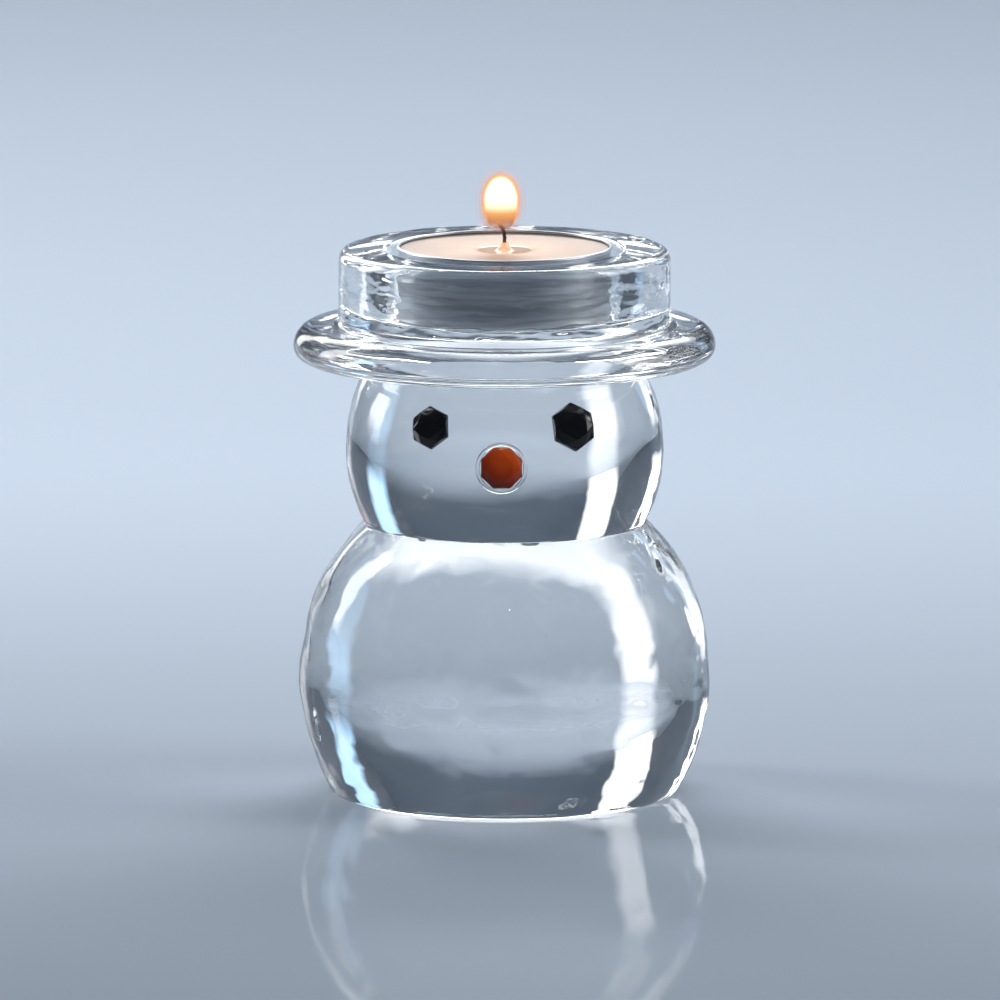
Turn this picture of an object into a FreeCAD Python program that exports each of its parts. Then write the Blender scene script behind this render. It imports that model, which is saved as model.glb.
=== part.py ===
import FreeCAD, Part
import math
import os

import Sketcher
from FreeCAD import Vector

"""Crystal snowman tealight holder.

Two clear glass balls, cut flat where they meet, carry a glass hat whose crown is
hollowed for a 38 mm tealight. Faceted stones sit in round sockets in the head as eyes
and nose. Thin films of clear adhesive join the pieces. The origin is the centre of the
foot, +Z is up and the face looks along -Y. Lengths are millimetres, angles degrees.
"""

# Every size that can be set by itself. Left and right are as seen from the front.
DIMENSIONS = {
    # body ball: its side is an arc centred beyond the axis, a little fuller than a sphere
    "body_belly_radius": 36.1,
    "body_belly_height": 21.0,
    "body_belly_band": 2.12,
    "foot_edge_round": 1.2,
    "foot_ring_width": 6.0,
    "foot_hollow_depth": 0.8,
    # head: a ball with a cap cut away at each joint
    "head_radius": 28.1,
    "head_base_cut": 14.9,
    "head_top_cut": 12.5,
    # clear adhesive between glass and glass
    "bond_film": 0.1,
    "bond_inset": 0.15,
    # hat: a brim with a two-arc edge, and a thick-walled crown
    "brim_under_round": 2.5,
    "brim_upper_round": 3.7,
    "brim_ledge": 2.95,
    "crown_wall": 8.65,
    "crown_root_round": 1.3,
    "crown_edge_round": 1.9,
    "recess_lip_round": 0.9,
    "recess_floor_round": 1.2,
    "recess_floor_above_brim": 1.6,
    "recess_clearance": 1.6,
    # face: where the sockets point, and how the stones sit in them
    "eye_turn": 28.0,
    "eye_lift": 14.5,
    "nose_lift": 1.5,
    "socket_depth": 1.5,
    "socket_clearance": 0.4,
    "stone_film": 0.1,
    "stone_film_inset": 0.3,
    # faceted stones, measured to their corners, each turned and set by hand in its socket
    "eye_left_corner_radius": 3.8,
    "eye_left_spin": 9.0,
    "eye_left_set_up": 0.1,
    "eye_right_corner_radius": 4.3,
    "eye_right_spin": 0.0,
    "eye_right_set_up": 0.3,
    "nose_corner_radius": 3.85,
    "nose_spin": 22.5,
    "nose_set_up": -0.25,
    "stone_girdle": 0.9,
    "stone_slope_rise": 1.2,
    "stone_table_inset": 1.6,
    # tealight: drawn aluminium cup with a rolled rim
    "cup_radius": 18.7,
    "cup_height": 12.2,
    "cup_wall": 0.2,
    "cup_base_round": 0.8,
    "cup_bead_radius": 0.3,
    "cup_seat_gap": 0.1,
    "cup_stands_proud": 0.5,
    # wax puck with a small melt pool that climbs the wick
    "wax_clearance": 0.15,
    "wax_below_rim": 0.6,
    "pool_radius": 4.6,
    "pool_bank": 0.9,
    "pool_depth": 0.3,
    "wax_climb": 1.4,
    "wax_climb_spread": 1.5,
    "wax_collar": 0.2,
    # tinned sustainer that holds the wick upright
    "sustainer_radius": 6.0,
    "sustainer_sheet": 0.25,
    "sustainer_tube_radius": 1.15,
    "sustainer_tube_rise": 2.6,
    "sustainer_clearance": 0.05,
    # wick: round braid, bent over at the tip
    "wick_radius": 0.7,
    "wick_clearance": 0.05,
    "wick_stands": 2.2,
    "wick_bend_radius": 3.0,
    "wick_lean": 38.0,
    "wick_tip_run": 1.1,
}

# What follows from those sizes, in the order it is worked out.
LEVELS = {
    # glass body
    "neck_radius": "sqrt(D.head_base_cut * (2 * D.head_radius - D.head_base_cut))",
    "body_band_low": "D.body_belly_height - D.body_belly_band / 2",
    "body_band_high": "D.body_belly_height + D.body_belly_band / 2",
    "body_top": "body_band_high + sqrt(D.body_belly_radius^2 - neck_radius^2)",
    "foot_flat_radius": "sqrt((D.body_belly_radius - D.foot_edge_round)^2"
    " - (body_band_low - D.foot_edge_round)^2)",
    "foot_round_share": "D.body_belly_radius / (D.body_belly_radius - D.foot_edge_round)",
    "foot_round_radius": "foot_flat_radius * foot_round_share",
    "foot_round_height": "body_band_low"
    " - (body_band_low - D.foot_edge_round) * foot_round_share",
    "foot_hollow_radius": "foot_flat_radius - D.foot_ring_width",
    "foot_hollow_arc": "(foot_hollow_radius^2 + D.foot_hollow_depth^2)"
    " / (2 * D.foot_hollow_depth)",
    # head and the two joints
    "neck_film_radius": "neck_radius - D.bond_inset",
    "head_base": "body_top + D.bond_film",
    "head_centre": "head_base + D.head_radius - D.head_base_cut",
    "head_top": "head_centre + D.head_radius - D.head_top_cut",
    "head_top_radius": "sqrt(D.head_top_cut * (2 * D.head_radius - D.head_top_cut))",
    "hat_film_radius": "head_top_radius - D.bond_inset",
    "hat_base": "head_top + D.bond_film",
    # hat, worked outwards from the tealight that it holds
    "cup_rim_radius": "D.cup_radius + D.cup_bead_radius",
    "recess_radius": "cup_rim_radius + D.recess_clearance",
    "recess_lip_radius": "recess_radius + D.recess_lip_round",
    "recess_floor_radius": "recess_radius - D.recess_floor_round",
    "crown_radius": "recess_radius + D.crown_wall",
    "crown_edge_radius": "crown_radius - D.crown_edge_round",
    "crown_root_radius": "crown_radius + D.crown_root_round",
    "brim_ledge_radius": "crown_root_radius + D.brim_ledge",
    "brim_radius": "brim_ledge_radius + D.brim_upper_round",
    "brim_under_radius": "brim_radius - D.brim_under_round",
    "brim_edge": "hat_base + D.brim_under_round",
    "brim_top": "brim_edge + D.brim_upper_round",
    "crown_root": "brim_top + D.crown_root_round",
    "recess_floor": "brim_top + D.recess_floor_above_brim",
    "recess_floor_side": "recess_floor + D.recess_floor_round",
    "crown_top": "recess_floor + D.cup_seat_gap + D.cup_height - D.cup_stands_proud",
    "crown_edge": "crown_top - D.crown_edge_round",
    "recess_lip": "crown_top - D.recess_lip_round",
    # sockets and stones, along each socket's own axis from the head's centre
    "socket_floor": "D.head_radius - D.socket_depth",
    "stone_back": "socket_floor + D.stone_film",
    "stone_height": "D.stone_girdle + D.stone_slope_rise",
    "eye_left_socket_radius": "D.eye_left_corner_radius + D.socket_clearance",
    "eye_left_film_radius": "D.eye_left_corner_radius * cos(180 / 6) - D.stone_film_inset",
    "eye_left_table_radius": "D.eye_left_corner_radius - D.stone_table_inset",
    "eye_right_socket_radius": "D.eye_right_corner_radius + D.socket_clearance",
    "eye_right_film_radius": "D.eye_right_corner_radius * cos(180 / 6) - D.stone_film_inset",
    "eye_right_table_radius": "D.eye_right_corner_radius - D.stone_table_inset",
    "nose_socket_radius": "D.nose_corner_radius + D.socket_clearance",
    "nose_film_radius": "D.nose_corner_radius * cos(180 / 8) - D.stone_film_inset",
    "nose_table_radius": "D.nose_corner_radius - D.stone_table_inset",
    # tealight cup
    "cup_base": "recess_floor + D.cup_seat_gap",
    "cup_top": "cup_base + D.cup_height",
    "cup_base_radius": "D.cup_radius - D.cup_base_round",
    "cup_side": "cup_base + D.cup_base_round",
    "cup_floor": "cup_base + D.cup_wall",
    "cup_bore_radius": "D.cup_radius - D.cup_wall",
    "cup_bore_round": "D.cup_base_round - D.cup_wall",
    "cup_bead": "cup_top - D.cup_bead_radius",
    "cup_bead_under": "cup_bead - D.cup_bead_radius",
    "cup_bead_inside": "cup_bead - sqrt(D.cup_bead_radius^2 - D.cup_wall^2)",
    # wax
    "wax_base": "cup_floor + D.wax_clearance",
    "wax_radius": "cup_bore_radius - D.wax_clearance",
    "wax_top": "cup_top - D.wax_below_rim",
    "wax_base_radius": "wax_radius - cup_bore_round",
    "wax_side": "wax_base + cup_bore_round",
    "pool_bank_radius": "D.pool_radius + D.pool_bank",
    "pool_floor": "wax_top - D.pool_depth",
    "wick_hole_radius": "D.wick_radius + D.wick_clearance",
    "wax_collar_radius": "wick_hole_radius + D.wax_collar",
    "wax_climb_radius": "wax_collar_radius + D.wax_climb_spread",
    "wax_climb_top": "pool_floor + D.wax_climb",
    # sustainer, and the space that the wax leaves for it
    "sustainer_top": "wax_base + D.sustainer_sheet",
    "sustainer_tube_top": "sustainer_top + D.sustainer_tube_rise",
    "wax_over_plate": "sustainer_top + D.sustainer_clearance",
    "wax_over_tube": "sustainer_tube_top + D.sustainer_clearance",
    "wax_plate_radius": "D.sustainer_radius + D.sustainer_clearance",
    "wax_tube_radius": "D.sustainer_tube_radius + D.sustainer_clearance",
    # wick, which leans towards -X
    "wick_bend_start": "wax_top + D.wick_stands",
    "wick_bend_across": "D.wick_bend_radius * (cos(D.wick_lean) - 1)",
    "wick_bend_end": "wick_bend_start + D.wick_bend_radius * sin(D.wick_lean)",
    "wick_tip_across": "wick_bend_across - D.wick_tip_run * sin(D.wick_lean)",
    "wick_tip": "wick_bend_end + D.wick_tip_run * cos(D.wick_lean)",
}

FULL_TURN = 360.0
SOCKET_TOOL_LENGTH = 6.0

# Each face stone: how many sides, its turn about Z as a factor and a size, and its lift.
FACE = {
    "eye_left": (6, "-1 * Dimensions.eye_turn", "eye_lift"),
    "eye_right": (6, "Dimensions.eye_turn", "eye_lift"),
    "nose": (8, "0", "nose_lift"),
}


def make_sheets(doc):
    """Fills a sheet with the driving sizes and one with the formulas that follow from them."""
    dimensions = doc.addObject("Spreadsheet::Sheet", "Dimensions")
    for row, (name, value) in enumerate(DIMENSIONS.items(), 1):
        dimensions.set(f"A{row}", name)
        dimensions.set(f"B{row}", str(value))
        dimensions.setAlias(f"B{row}", name)
    doc.recompute()
    levels = doc.addObject("Spreadsheet::Sheet", "Levels")
    for row, (name, formula) in enumerate(LEVELS.items(), 1):
        levels.set(f"A{row}", name)
        levels.set(f"B{row}", "=" + formula.replace("D.", "Dimensions."))
        levels.setAlias(f"B{row}", name)
        doc.recompute()


def cell(name):
    """The expression that names a size, whichever sheet holds it."""
    return f"Dimensions.{name}" if name in DIMENSIONS else f"Levels.{name}"


def size(name):
    """A size's present value, or 0 where the name is None."""
    if name is None:
        return 0.0
    doc = FreeCAD.ActiveDocument
    sheet = doc.Dimensions if name in DIMENSIONS else doc.Levels
    return float(sheet.get(name))


def new_body(doc, label):
    """An empty PartDesign body whose label names its file."""
    body = doc.addObject("PartDesign::Body", label)
    body.Label = label
    return body


def new_sketch(body, name, plane, lifted_by=None):
    """A sketch on one of the body's own origin planes, raised from it by a named size."""
    sketch = body.newObject("Sketcher::SketchObject", f"{body.Name}_{name}")
    support = next(item for item in body.Origin.OriginFeatures if item.Role == plane)
    sketch.AttachmentSupport = [(support, "")]
    sketch.MapMode = "FlatFace"
    if lifted_by is not None:
        sketch.setExpression("AttachmentOffset.Base.z", cell(lifted_by))
    return sketch


class Outline:
    """A fully constrained chain of lines and arcs, each corner tied to two named sizes.

    A corner is (across, up), each a size's name, or None on the sketch's own axis.
    """

    def __init__(self, sketch, across, up):
        self.sketch = sketch
        self.first = (across, up)
        self.corner = (across, up)
        self.last_end = None
        self.first_end = None

    def _bind(self, kind, geometry, point, name, value):
        """Ties one coordinate of a point to a named size."""
        index = self.sketch.addConstraint(
            Sketcher.Constraint(kind, -1, 1, geometry, point, value)
        )
        label = f"{kind}_{geometry}_{point}"
        self.sketch.renameConstraint(index, label)
        self.sketch.setExpression(f"Constraints.{label}", cell(name))

    def _place(self, geometry, point, corner):
        """Ties a segment's end to a corner's two sizes."""
        across, up = corner
        if across is None:
            self.sketch.addConstraint(Sketcher.Constraint("PointOnObject", geometry, point, -2))
        else:
            self._bind("DistanceX", geometry, point, across, size(across))
        if up is None:
            self.sketch.addConstraint(Sketcher.Constraint("PointOnObject", geometry, point, -1))
        else:
            self._bind("DistanceY", geometry, point, up, size(up))

    def _join(self, geometry, start, end, corner, closing):
        """Joins a new segment to the last one, and places its far end."""
        if self.last_end is None:
            self.first_end = (geometry, start)
            self._place(geometry, start, self.first)
        else:
            self.sketch.addConstraint(
                Sketcher.Constraint("Coincident", *self.last_end, geometry, start)
            )
        if closing:
            self.sketch.addConstraint(
                Sketcher.Constraint("Coincident", geometry, end, *self.first_end)
            )
        else:
            self._place(geometry, end, corner)
        self.last_end = (geometry, end)
        self.corner = corner

    def _points(self, corner):
        """The segment's two ends as vectors."""
        here = Vector(size(self.corner[0]), size(self.corner[1]), 0)
        there = Vector(size(corner[0]), size(corner[1]), 0)
        return here, there

    def line(self, across, up, closing=False):
        """Adds a straight line to the next corner."""
        here, there = self._points((across, up))
        geometry = self.sketch.addGeometry(Part.LineSegment(here, there), False)
        self._join(geometry, 1, 2, (across, up), closing)
        return self

    def arc(self, across, up, radius, centre_on_left=True):
        """Adds an arc of under half a turn to the next corner."""
        here, there = self._points((across, up))
        chord = there.sub(here)
        reach = size(radius)
        normal = Vector(-chord.y, chord.x, 0).normalize()
        offset = math.sqrt(max(reach**2 - (chord.Length / 2) ** 2, 0.0))
        middle = here.add(there).multiply(0.5)
        centre = middle.add(normal.multiply(offset if centre_on_left else -offset))
        ends = (here, there) if centre_on_left else (there, here)
        angles = [math.atan2(end.y - centre.y, end.x - centre.x) for end in ends]
        circle = Part.Circle(centre, Vector(0, 0, 1), reach)
        geometry = self.sketch.addGeometry(Part.ArcOfCircle(circle, *angles), False)
        start, end = (1, 2) if centre_on_left else (2, 1)
        self._join(geometry, start, end, (across, up), False)
        index = self.sketch.addConstraint(Sketcher.Constraint("Radius", geometry, reach))
        label = f"Radius_{geometry}"
        self.sketch.renameConstraint(index, label)
        self.sketch.setExpression(f"Constraints.{label}", cell(radius))
        return self

    def close(self):
        """Runs a line back to the first corner."""
        return self.line(*self.first, closing=True)


def turned(doc, label, draw):
    """A body made by turning an outline about Z. draw() adds the outline's segments."""
    body = new_body(doc, label)
    sketch = new_sketch(body, "outline", "XZ_Plane")
    draw(sketch)
    turn = body.newObject("PartDesign::Revolution", f"{label}_turn")
    turn.Profile = sketch
    turn.ReferenceAxis = (sketch, ["V_Axis"])
    turn.Angle = FULL_TURN
    return body


def make_glass_body(doc):
    """The lower ball: foot ring round a shallow hollow, narrow straight band, flat neck joint."""

    def draw(sketch):
        outline = Outline(sketch, None, "foot_hollow_depth")
        outline.arc("foot_hollow_radius", None, "foot_hollow_arc", centre_on_left=False)
        outline.line("foot_flat_radius", None)
        outline.arc("foot_round_radius", "foot_round_height", "foot_edge_round")
        outline.arc("body_belly_radius", "body_band_low", "body_belly_radius")
        outline.line("body_belly_radius", "body_band_high")
        outline.arc("neck_radius", "body_top", "body_belly_radius")
        outline.line(None, "body_top")
        outline.close()

    return turned(doc, "glass_body", draw)


def make_film(doc, label, radius, base, thickness):
    """A disc of clear adhesive."""
    body = new_body(doc, label)
    sketch = new_sketch(body, "disc", "XY_Plane", lifted_by=base)
    circle(sketch, radius)
    pad = body.newObject("PartDesign::Pad", f"{label}_pad")
    pad.Profile = sketch
    pad.setExpression("Length", cell(thickness))
    return body


def circle(sketch, radius, construction=False):
    """A circle about the sketch's origin, its radius tied to a named size."""
    shape = Part.Circle(Vector(0, 0, 0), Vector(0, 0, 1), size(radius))
    index = sketch.addGeometry(shape, construction)
    sketch.addConstraint(Sketcher.Constraint("Coincident", index, 3, -1, 1))
    tie = sketch.addConstraint(Sketcher.Constraint("Radius", index, size(radius)))
    sketch.renameConstraint(tie, "circle_radius")
    sketch.setExpression("Constraints.circle_radius", cell(radius))
    return index


def on_face(label, reach, in_hand=False):
    """The expression for a place on the head, its local Z pointing out along a stone's axis.

    reach names the distance from the head's centre. in_hand adds the stone's own spin and
    the small way it sits above or below its socket's axis.
    """
    _sides, turn, lift = FACE[label]
    up = cell(lift)
    out = cell(reach)
    across = f"{out} * cos({up}) * sin({turn})"
    front = f"-1 * {out} * cos({up}) * cos({turn})"
    height = f"Levels.head_centre + {out} * sin({up})"
    spot = f"placement(vector({across}; {front}; {height}); rotation({turn}; 0; 90 - {up}))"
    if not in_hand:
        return spot
    shift = cell(f"{label}_set_up")
    spin = cell(f"{label}_spin")
    return f"{spot} * placement(vector(0; {shift}; 0); rotation({spin}; 0; 0))"


def make_glass_head(doc):
    """The head: a ball flat at both joints, with a drilled socket for each face stone."""

    def draw(sketch):
        outline = Outline(sketch, None, "head_base")
        outline.line("neck_radius", "head_base")
        outline.arc("head_top_radius", "head_top", "head_radius")
        outline.line(None, "head_top")
        outline.close()

    body = turned(doc, "glass_head", draw)
    plane = next(item for item in body.Origin.OriginFeatures if item.Role == "XY_Plane")
    for label in FACE:
        socket = body.newObject("PartDesign::SubtractiveCylinder", f"{label}_socket")
        socket.AttachmentSupport = [(plane, "")]
        socket.MapMode = "FlatFace"
        socket.setExpression("AttachmentOffset", on_face(label, "socket_floor"))
        socket.setExpression("Radius", cell(f"{label}_socket_radius"))
        socket.Height = SOCKET_TOOL_LENGTH
    return body


def polygon(sketch, radius, sides):
    """A regular polygon with a corner on the sketch's up axis, corners on a named radius."""
    rim = circle(sketch, radius, construction=True)
    reach = size(radius)
    corners = [
        Vector(
            reach * math.sin(2 * math.pi * step / sides),
            reach * math.cos(2 * math.pi * step / sides),
            0,
        )
        for step in range(sides)
    ]
    edges = [
        sketch.addGeometry(Part.LineSegment(corners[step], corners[(step + 1) % sides]), False)
        for step in range(sides)
    ]
    for step, edge in enumerate(edges):
        following = edges[(step + 1) % sides]
        sketch.addConstraint(Sketcher.Constraint("Coincident", edge, 2, following, 1))
        sketch.addConstraint(Sketcher.Constraint("PointOnObject", edge, 1, rim))
        if step > 0:
            sketch.addConstraint(Sketcher.Constraint("Equal", edges[0], edge))
    sketch.addConstraint(Sketcher.Constraint("PointOnObject", edges[0], 1, -2))


def make_stone(doc, label):
    """A flat-backed faceted stone: a straight girdle under sloping facets and a flat table."""
    sides = FACE[label][0]
    body = new_body(doc, label)
    back = new_sketch(body, "back", "XY_Plane")
    polygon(back, f"{label}_corner_radius", sides)
    girdle = new_sketch(body, "girdle", "XY_Plane", lifted_by="stone_girdle")
    polygon(girdle, f"{label}_corner_radius", sides)
    table = new_sketch(body, "table", "XY_Plane", lifted_by="stone_height")
    polygon(table, f"{label}_table_radius", sides)
    loft = body.newObject("PartDesign::AdditiveLoft", f"{label}_loft")
    loft.Profile = back
    loft.Sections = [girdle, table]
    loft.Ruled = True
    body.setExpression("Placement", on_face(label, "stone_back", in_hand=True))
    return body


def make_stone_film(doc, label):
    """The adhesive disc between a stone's flat back and its socket's floor."""
    film = make_film(doc, f"{label}_bond", f"{label}_film_radius", None, "stone_film")
    film.setExpression("Placement", on_face(label, "socket_floor", in_hand=True))
    return film


def make_glass_hat(doc):
    """The hat: one casting, with a rounded brim and a crown hollowed for the tealight."""

    def draw(sketch):
        outline = Outline(sketch, None, "hat_base")
        outline.line("brim_under_radius", "hat_base")
        outline.arc("brim_radius", "brim_edge", "brim_under_round")
        outline.arc("brim_ledge_radius", "brim_top", "brim_upper_round")
        outline.line("crown_root_radius", "brim_top")
        outline.arc("crown_radius", "crown_root", "crown_root_round", centre_on_left=False)
        outline.line("crown_radius", "crown_edge")
        outline.arc("crown_edge_radius", "crown_top", "crown_edge_round")
        outline.line("recess_lip_radius", "crown_top")
        outline.arc("recess_radius", "recess_lip", "recess_lip_round")
        outline.line("recess_radius", "recess_floor_side")
        outline.arc(
            "recess_floor_radius", "recess_floor", "recess_floor_round", centre_on_left=False
        )
        outline.line(None, "recess_floor")
        outline.close()

    return turned(doc, "glass_hat", draw)


def make_tealight_cup(doc):
    """The drawn aluminium cup, its edge rolled into a bead."""

    def draw(sketch):
        outline = Outline(sketch, None, "cup_base")
        outline.line("cup_base_radius", "cup_base")
        outline.arc("cup_radius", "cup_side", "cup_base_round")
        outline.line("cup_radius", "cup_bead_under")
        outline.arc("cup_rim_radius", "cup_bead", "cup_bead_radius")
        outline.arc("cup_radius", "cup_top", "cup_bead_radius")
        outline.arc("cup_bore_radius", "cup_bead_inside", "cup_bead_radius")
        outline.line("cup_bore_radius", "cup_side")
        outline.arc("cup_base_radius", "cup_floor", "cup_bore_round", centre_on_left=False)
        outline.line(None, "cup_floor")
        outline.close()

    return turned(doc, "tealight_cup", draw)


def make_wax(doc):
    """The wax puck: pressed round the sustainer, pierced for the wick, melting round it."""

    def draw(sketch):
        outline = Outline(sketch, "wax_plate_radius", "wax_base")
        outline.line("wax_base_radius", "wax_base")
        outline.arc("wax_radius", "wax_side", "cup_bore_round")
        outline.line("wax_radius", "wax_top")
        outline.line("pool_bank_radius", "wax_top")
        outline.line("pool_radius", "pool_floor")
        outline.line("wax_climb_radius", "pool_floor")
        outline.line("wax_collar_radius", "wax_climb_top")
        outline.line("wick_hole_radius", "wax_climb_top")
        outline.line("wick_hole_radius", "wax_over_tube")
        outline.line("wax_tube_radius", "wax_over_tube")
        outline.line("wax_tube_radius", "wax_over_plate")
        outline.line("wax_plate_radius", "wax_over_plate")
        outline.close()

    return turned(doc, "wax", draw)


def make_wick_sustainer(doc):
    """The tinned disc under the wax, its tube crimped round the wick."""

    def draw(sketch):
        outline = Outline(sketch, "wick_hole_radius", "wax_base")
        outline.line("sustainer_radius", "wax_base")
        outline.line("sustainer_radius", "sustainer_top")
        outline.line("sustainer_tube_radius", "sustainer_top")
        outline.line("sustainer_tube_radius", "sustainer_tube_top")
        outline.line("wick_hole_radius", "sustainer_tube_top")
        outline.close()

    return turned(doc, "wick_sustainer", draw)


def make_wick(doc):
    """The wick: up through the wax on the axis, then bent over towards -X."""
    body = new_body(doc, "wick")
    section = new_sketch(body, "section", "XY_Plane", lifted_by="wax_base")
    circle(section, "wick_radius")
    path = new_sketch(body, "path", "XZ_Plane")
    outline = Outline(path, None, "wax_base")
    outline.line(None, "wick_bend_start")
    outline.arc("wick_bend_across", "wick_bend_end", "wick_bend_radius")
    outline.line("wick_tip_across", "wick_tip")
    pipe = body.newObject("PartDesign::AdditivePipe", "wick_pipe")
    pipe.Profile = section
    pipe.Spine = (path, ["Edge1", "Edge2", "Edge3"])
    return body


def check(doc, parts):
    """Raises if any object failed, or any sub-part's shape isn't one good solid."""
    for item in doc.Objects:
        if "Invalid" in item.State or "Error" in item.State:
            raise RuntimeError(f"{item.Label} failed: {item.State}")
    for part in parts:
        shape = part.Shape
        if shape.isNull() or not shape.isValid() or len(shape.Solids) != 1:
            raise RuntimeError(f"{part.Label} is not one valid solid")
    head = doc.getObject("glass_head_turn").Shape.Volume
    drilled = doc.getObject("glass_head").Shape.Volume
    if drilled >= head:
        raise RuntimeError("the face sockets cut nothing from the head")


def main():
    """Builds the holder and its tealight, checks them and writes one file for each piece."""
    doc = FreeCAD.newDocument("SnowmanTealightHolder")
    make_sheets(doc)
    parts = [
        make_glass_body(doc),
        make_film(doc, "neck_bond", "neck_film_radius", "body_top", "bond_film"),
        make_glass_head(doc),
        make_film(doc, "hat_bond", "hat_film_radius", "head_top", "bond_film"),
        make_glass_hat(doc),
    ]
    for label in FACE:
        parts.append(make_stone(doc, label))
        parts.append(make_stone_film(doc, label))
    parts.append(make_tealight_cup(doc))
    parts.append(make_wax(doc))
    parts.append(make_wick_sustainer(doc))
    parts.append(make_wick(doc))
    doc.recompute()
    check(doc, parts)
    os.makedirs("parts", exist_ok=True)
    for part in parts:
        part.Shape.exportStep(f"parts/{part.Label}.step")


main()
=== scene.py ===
"""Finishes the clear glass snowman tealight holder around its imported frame."""

import logging
import math
from dataclasses import dataclass, field
from enum import Enum
from typing import Any, Iterable

import bmesh
import bpy
import numpy as np
from mathutils import Matrix, Vector


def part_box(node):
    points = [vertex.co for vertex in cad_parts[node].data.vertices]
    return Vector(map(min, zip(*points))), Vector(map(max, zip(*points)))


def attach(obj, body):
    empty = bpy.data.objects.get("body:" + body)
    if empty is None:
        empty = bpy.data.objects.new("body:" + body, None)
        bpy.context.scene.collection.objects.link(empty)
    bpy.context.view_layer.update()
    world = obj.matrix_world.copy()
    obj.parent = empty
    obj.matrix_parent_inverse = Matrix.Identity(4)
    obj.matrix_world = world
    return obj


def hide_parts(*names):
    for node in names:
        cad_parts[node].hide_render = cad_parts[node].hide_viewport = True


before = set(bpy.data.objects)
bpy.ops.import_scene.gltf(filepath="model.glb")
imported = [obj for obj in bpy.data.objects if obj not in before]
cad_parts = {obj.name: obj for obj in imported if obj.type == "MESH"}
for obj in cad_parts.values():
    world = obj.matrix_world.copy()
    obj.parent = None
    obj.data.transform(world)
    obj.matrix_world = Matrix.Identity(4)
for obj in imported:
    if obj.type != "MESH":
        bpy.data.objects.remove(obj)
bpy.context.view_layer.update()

MM = 0.001
LOG = logging.getLogger("snowman")

Colour = tuple[float, float, float]
Point = tuple[float, float]
Socket = bpy.types.NodeSocket
Tree = bpy.types.NodeTree
Piece = bpy.types.Object
Material = bpy.types.Material


# --------------------------------------------------------------------------------------
# Node trees
# --------------------------------------------------------------------------------------


class Value:
    """A node's number output that can be written into an expression."""

    def __init__(self, graph: "Graph", socket: Socket) -> None:
        """Wraps one output.

        Args:
            graph: the tree that the output belongs to.
            socket: the output itself.
        """
        self.graph = graph
        self.socket = socket

    def math(
        self, operation: str, *others: Any, swapped: bool = False, clamp: bool = False
    ) -> "Value":
        """Adds a Math node.

        Args:
            operation: the Math node's operation.
            others: its further inputs, values or numbers.
            swapped: puts this value second.
            clamp: keeps the result between 0 and 1.

        Returns:
            The node's result.
        """
        terms = [self, *others]
        if swapped:
            terms.reverse()
        settings = {"operation": operation, "use_clamp": clamp}
        return self.graph.value("ShaderNodeMath", settings, dict(enumerate(terms)))

    def __add__(self, other: Any) -> "Value":
        """This plus other."""
        return self.math("ADD", other)

    __radd__ = __add__

    def __sub__(self, other: Any) -> "Value":
        """This minus other."""
        return self.math("SUBTRACT", other)

    def __rsub__(self, other: Any) -> "Value":
        """Other minus this."""
        return self.math("SUBTRACT", other, swapped=True)

    def __mul__(self, other: Any) -> "Value":
        """This times other."""
        return self.math("MULTIPLY", other)

    __rmul__ = __mul__

    def __truediv__(self, other: Any) -> "Value":
        """This over other."""
        return self.math("DIVIDE", other)

    def __pow__(self, other: Any) -> "Value":
        """This to the power of other."""
        return self.math("POWER", other)


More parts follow.
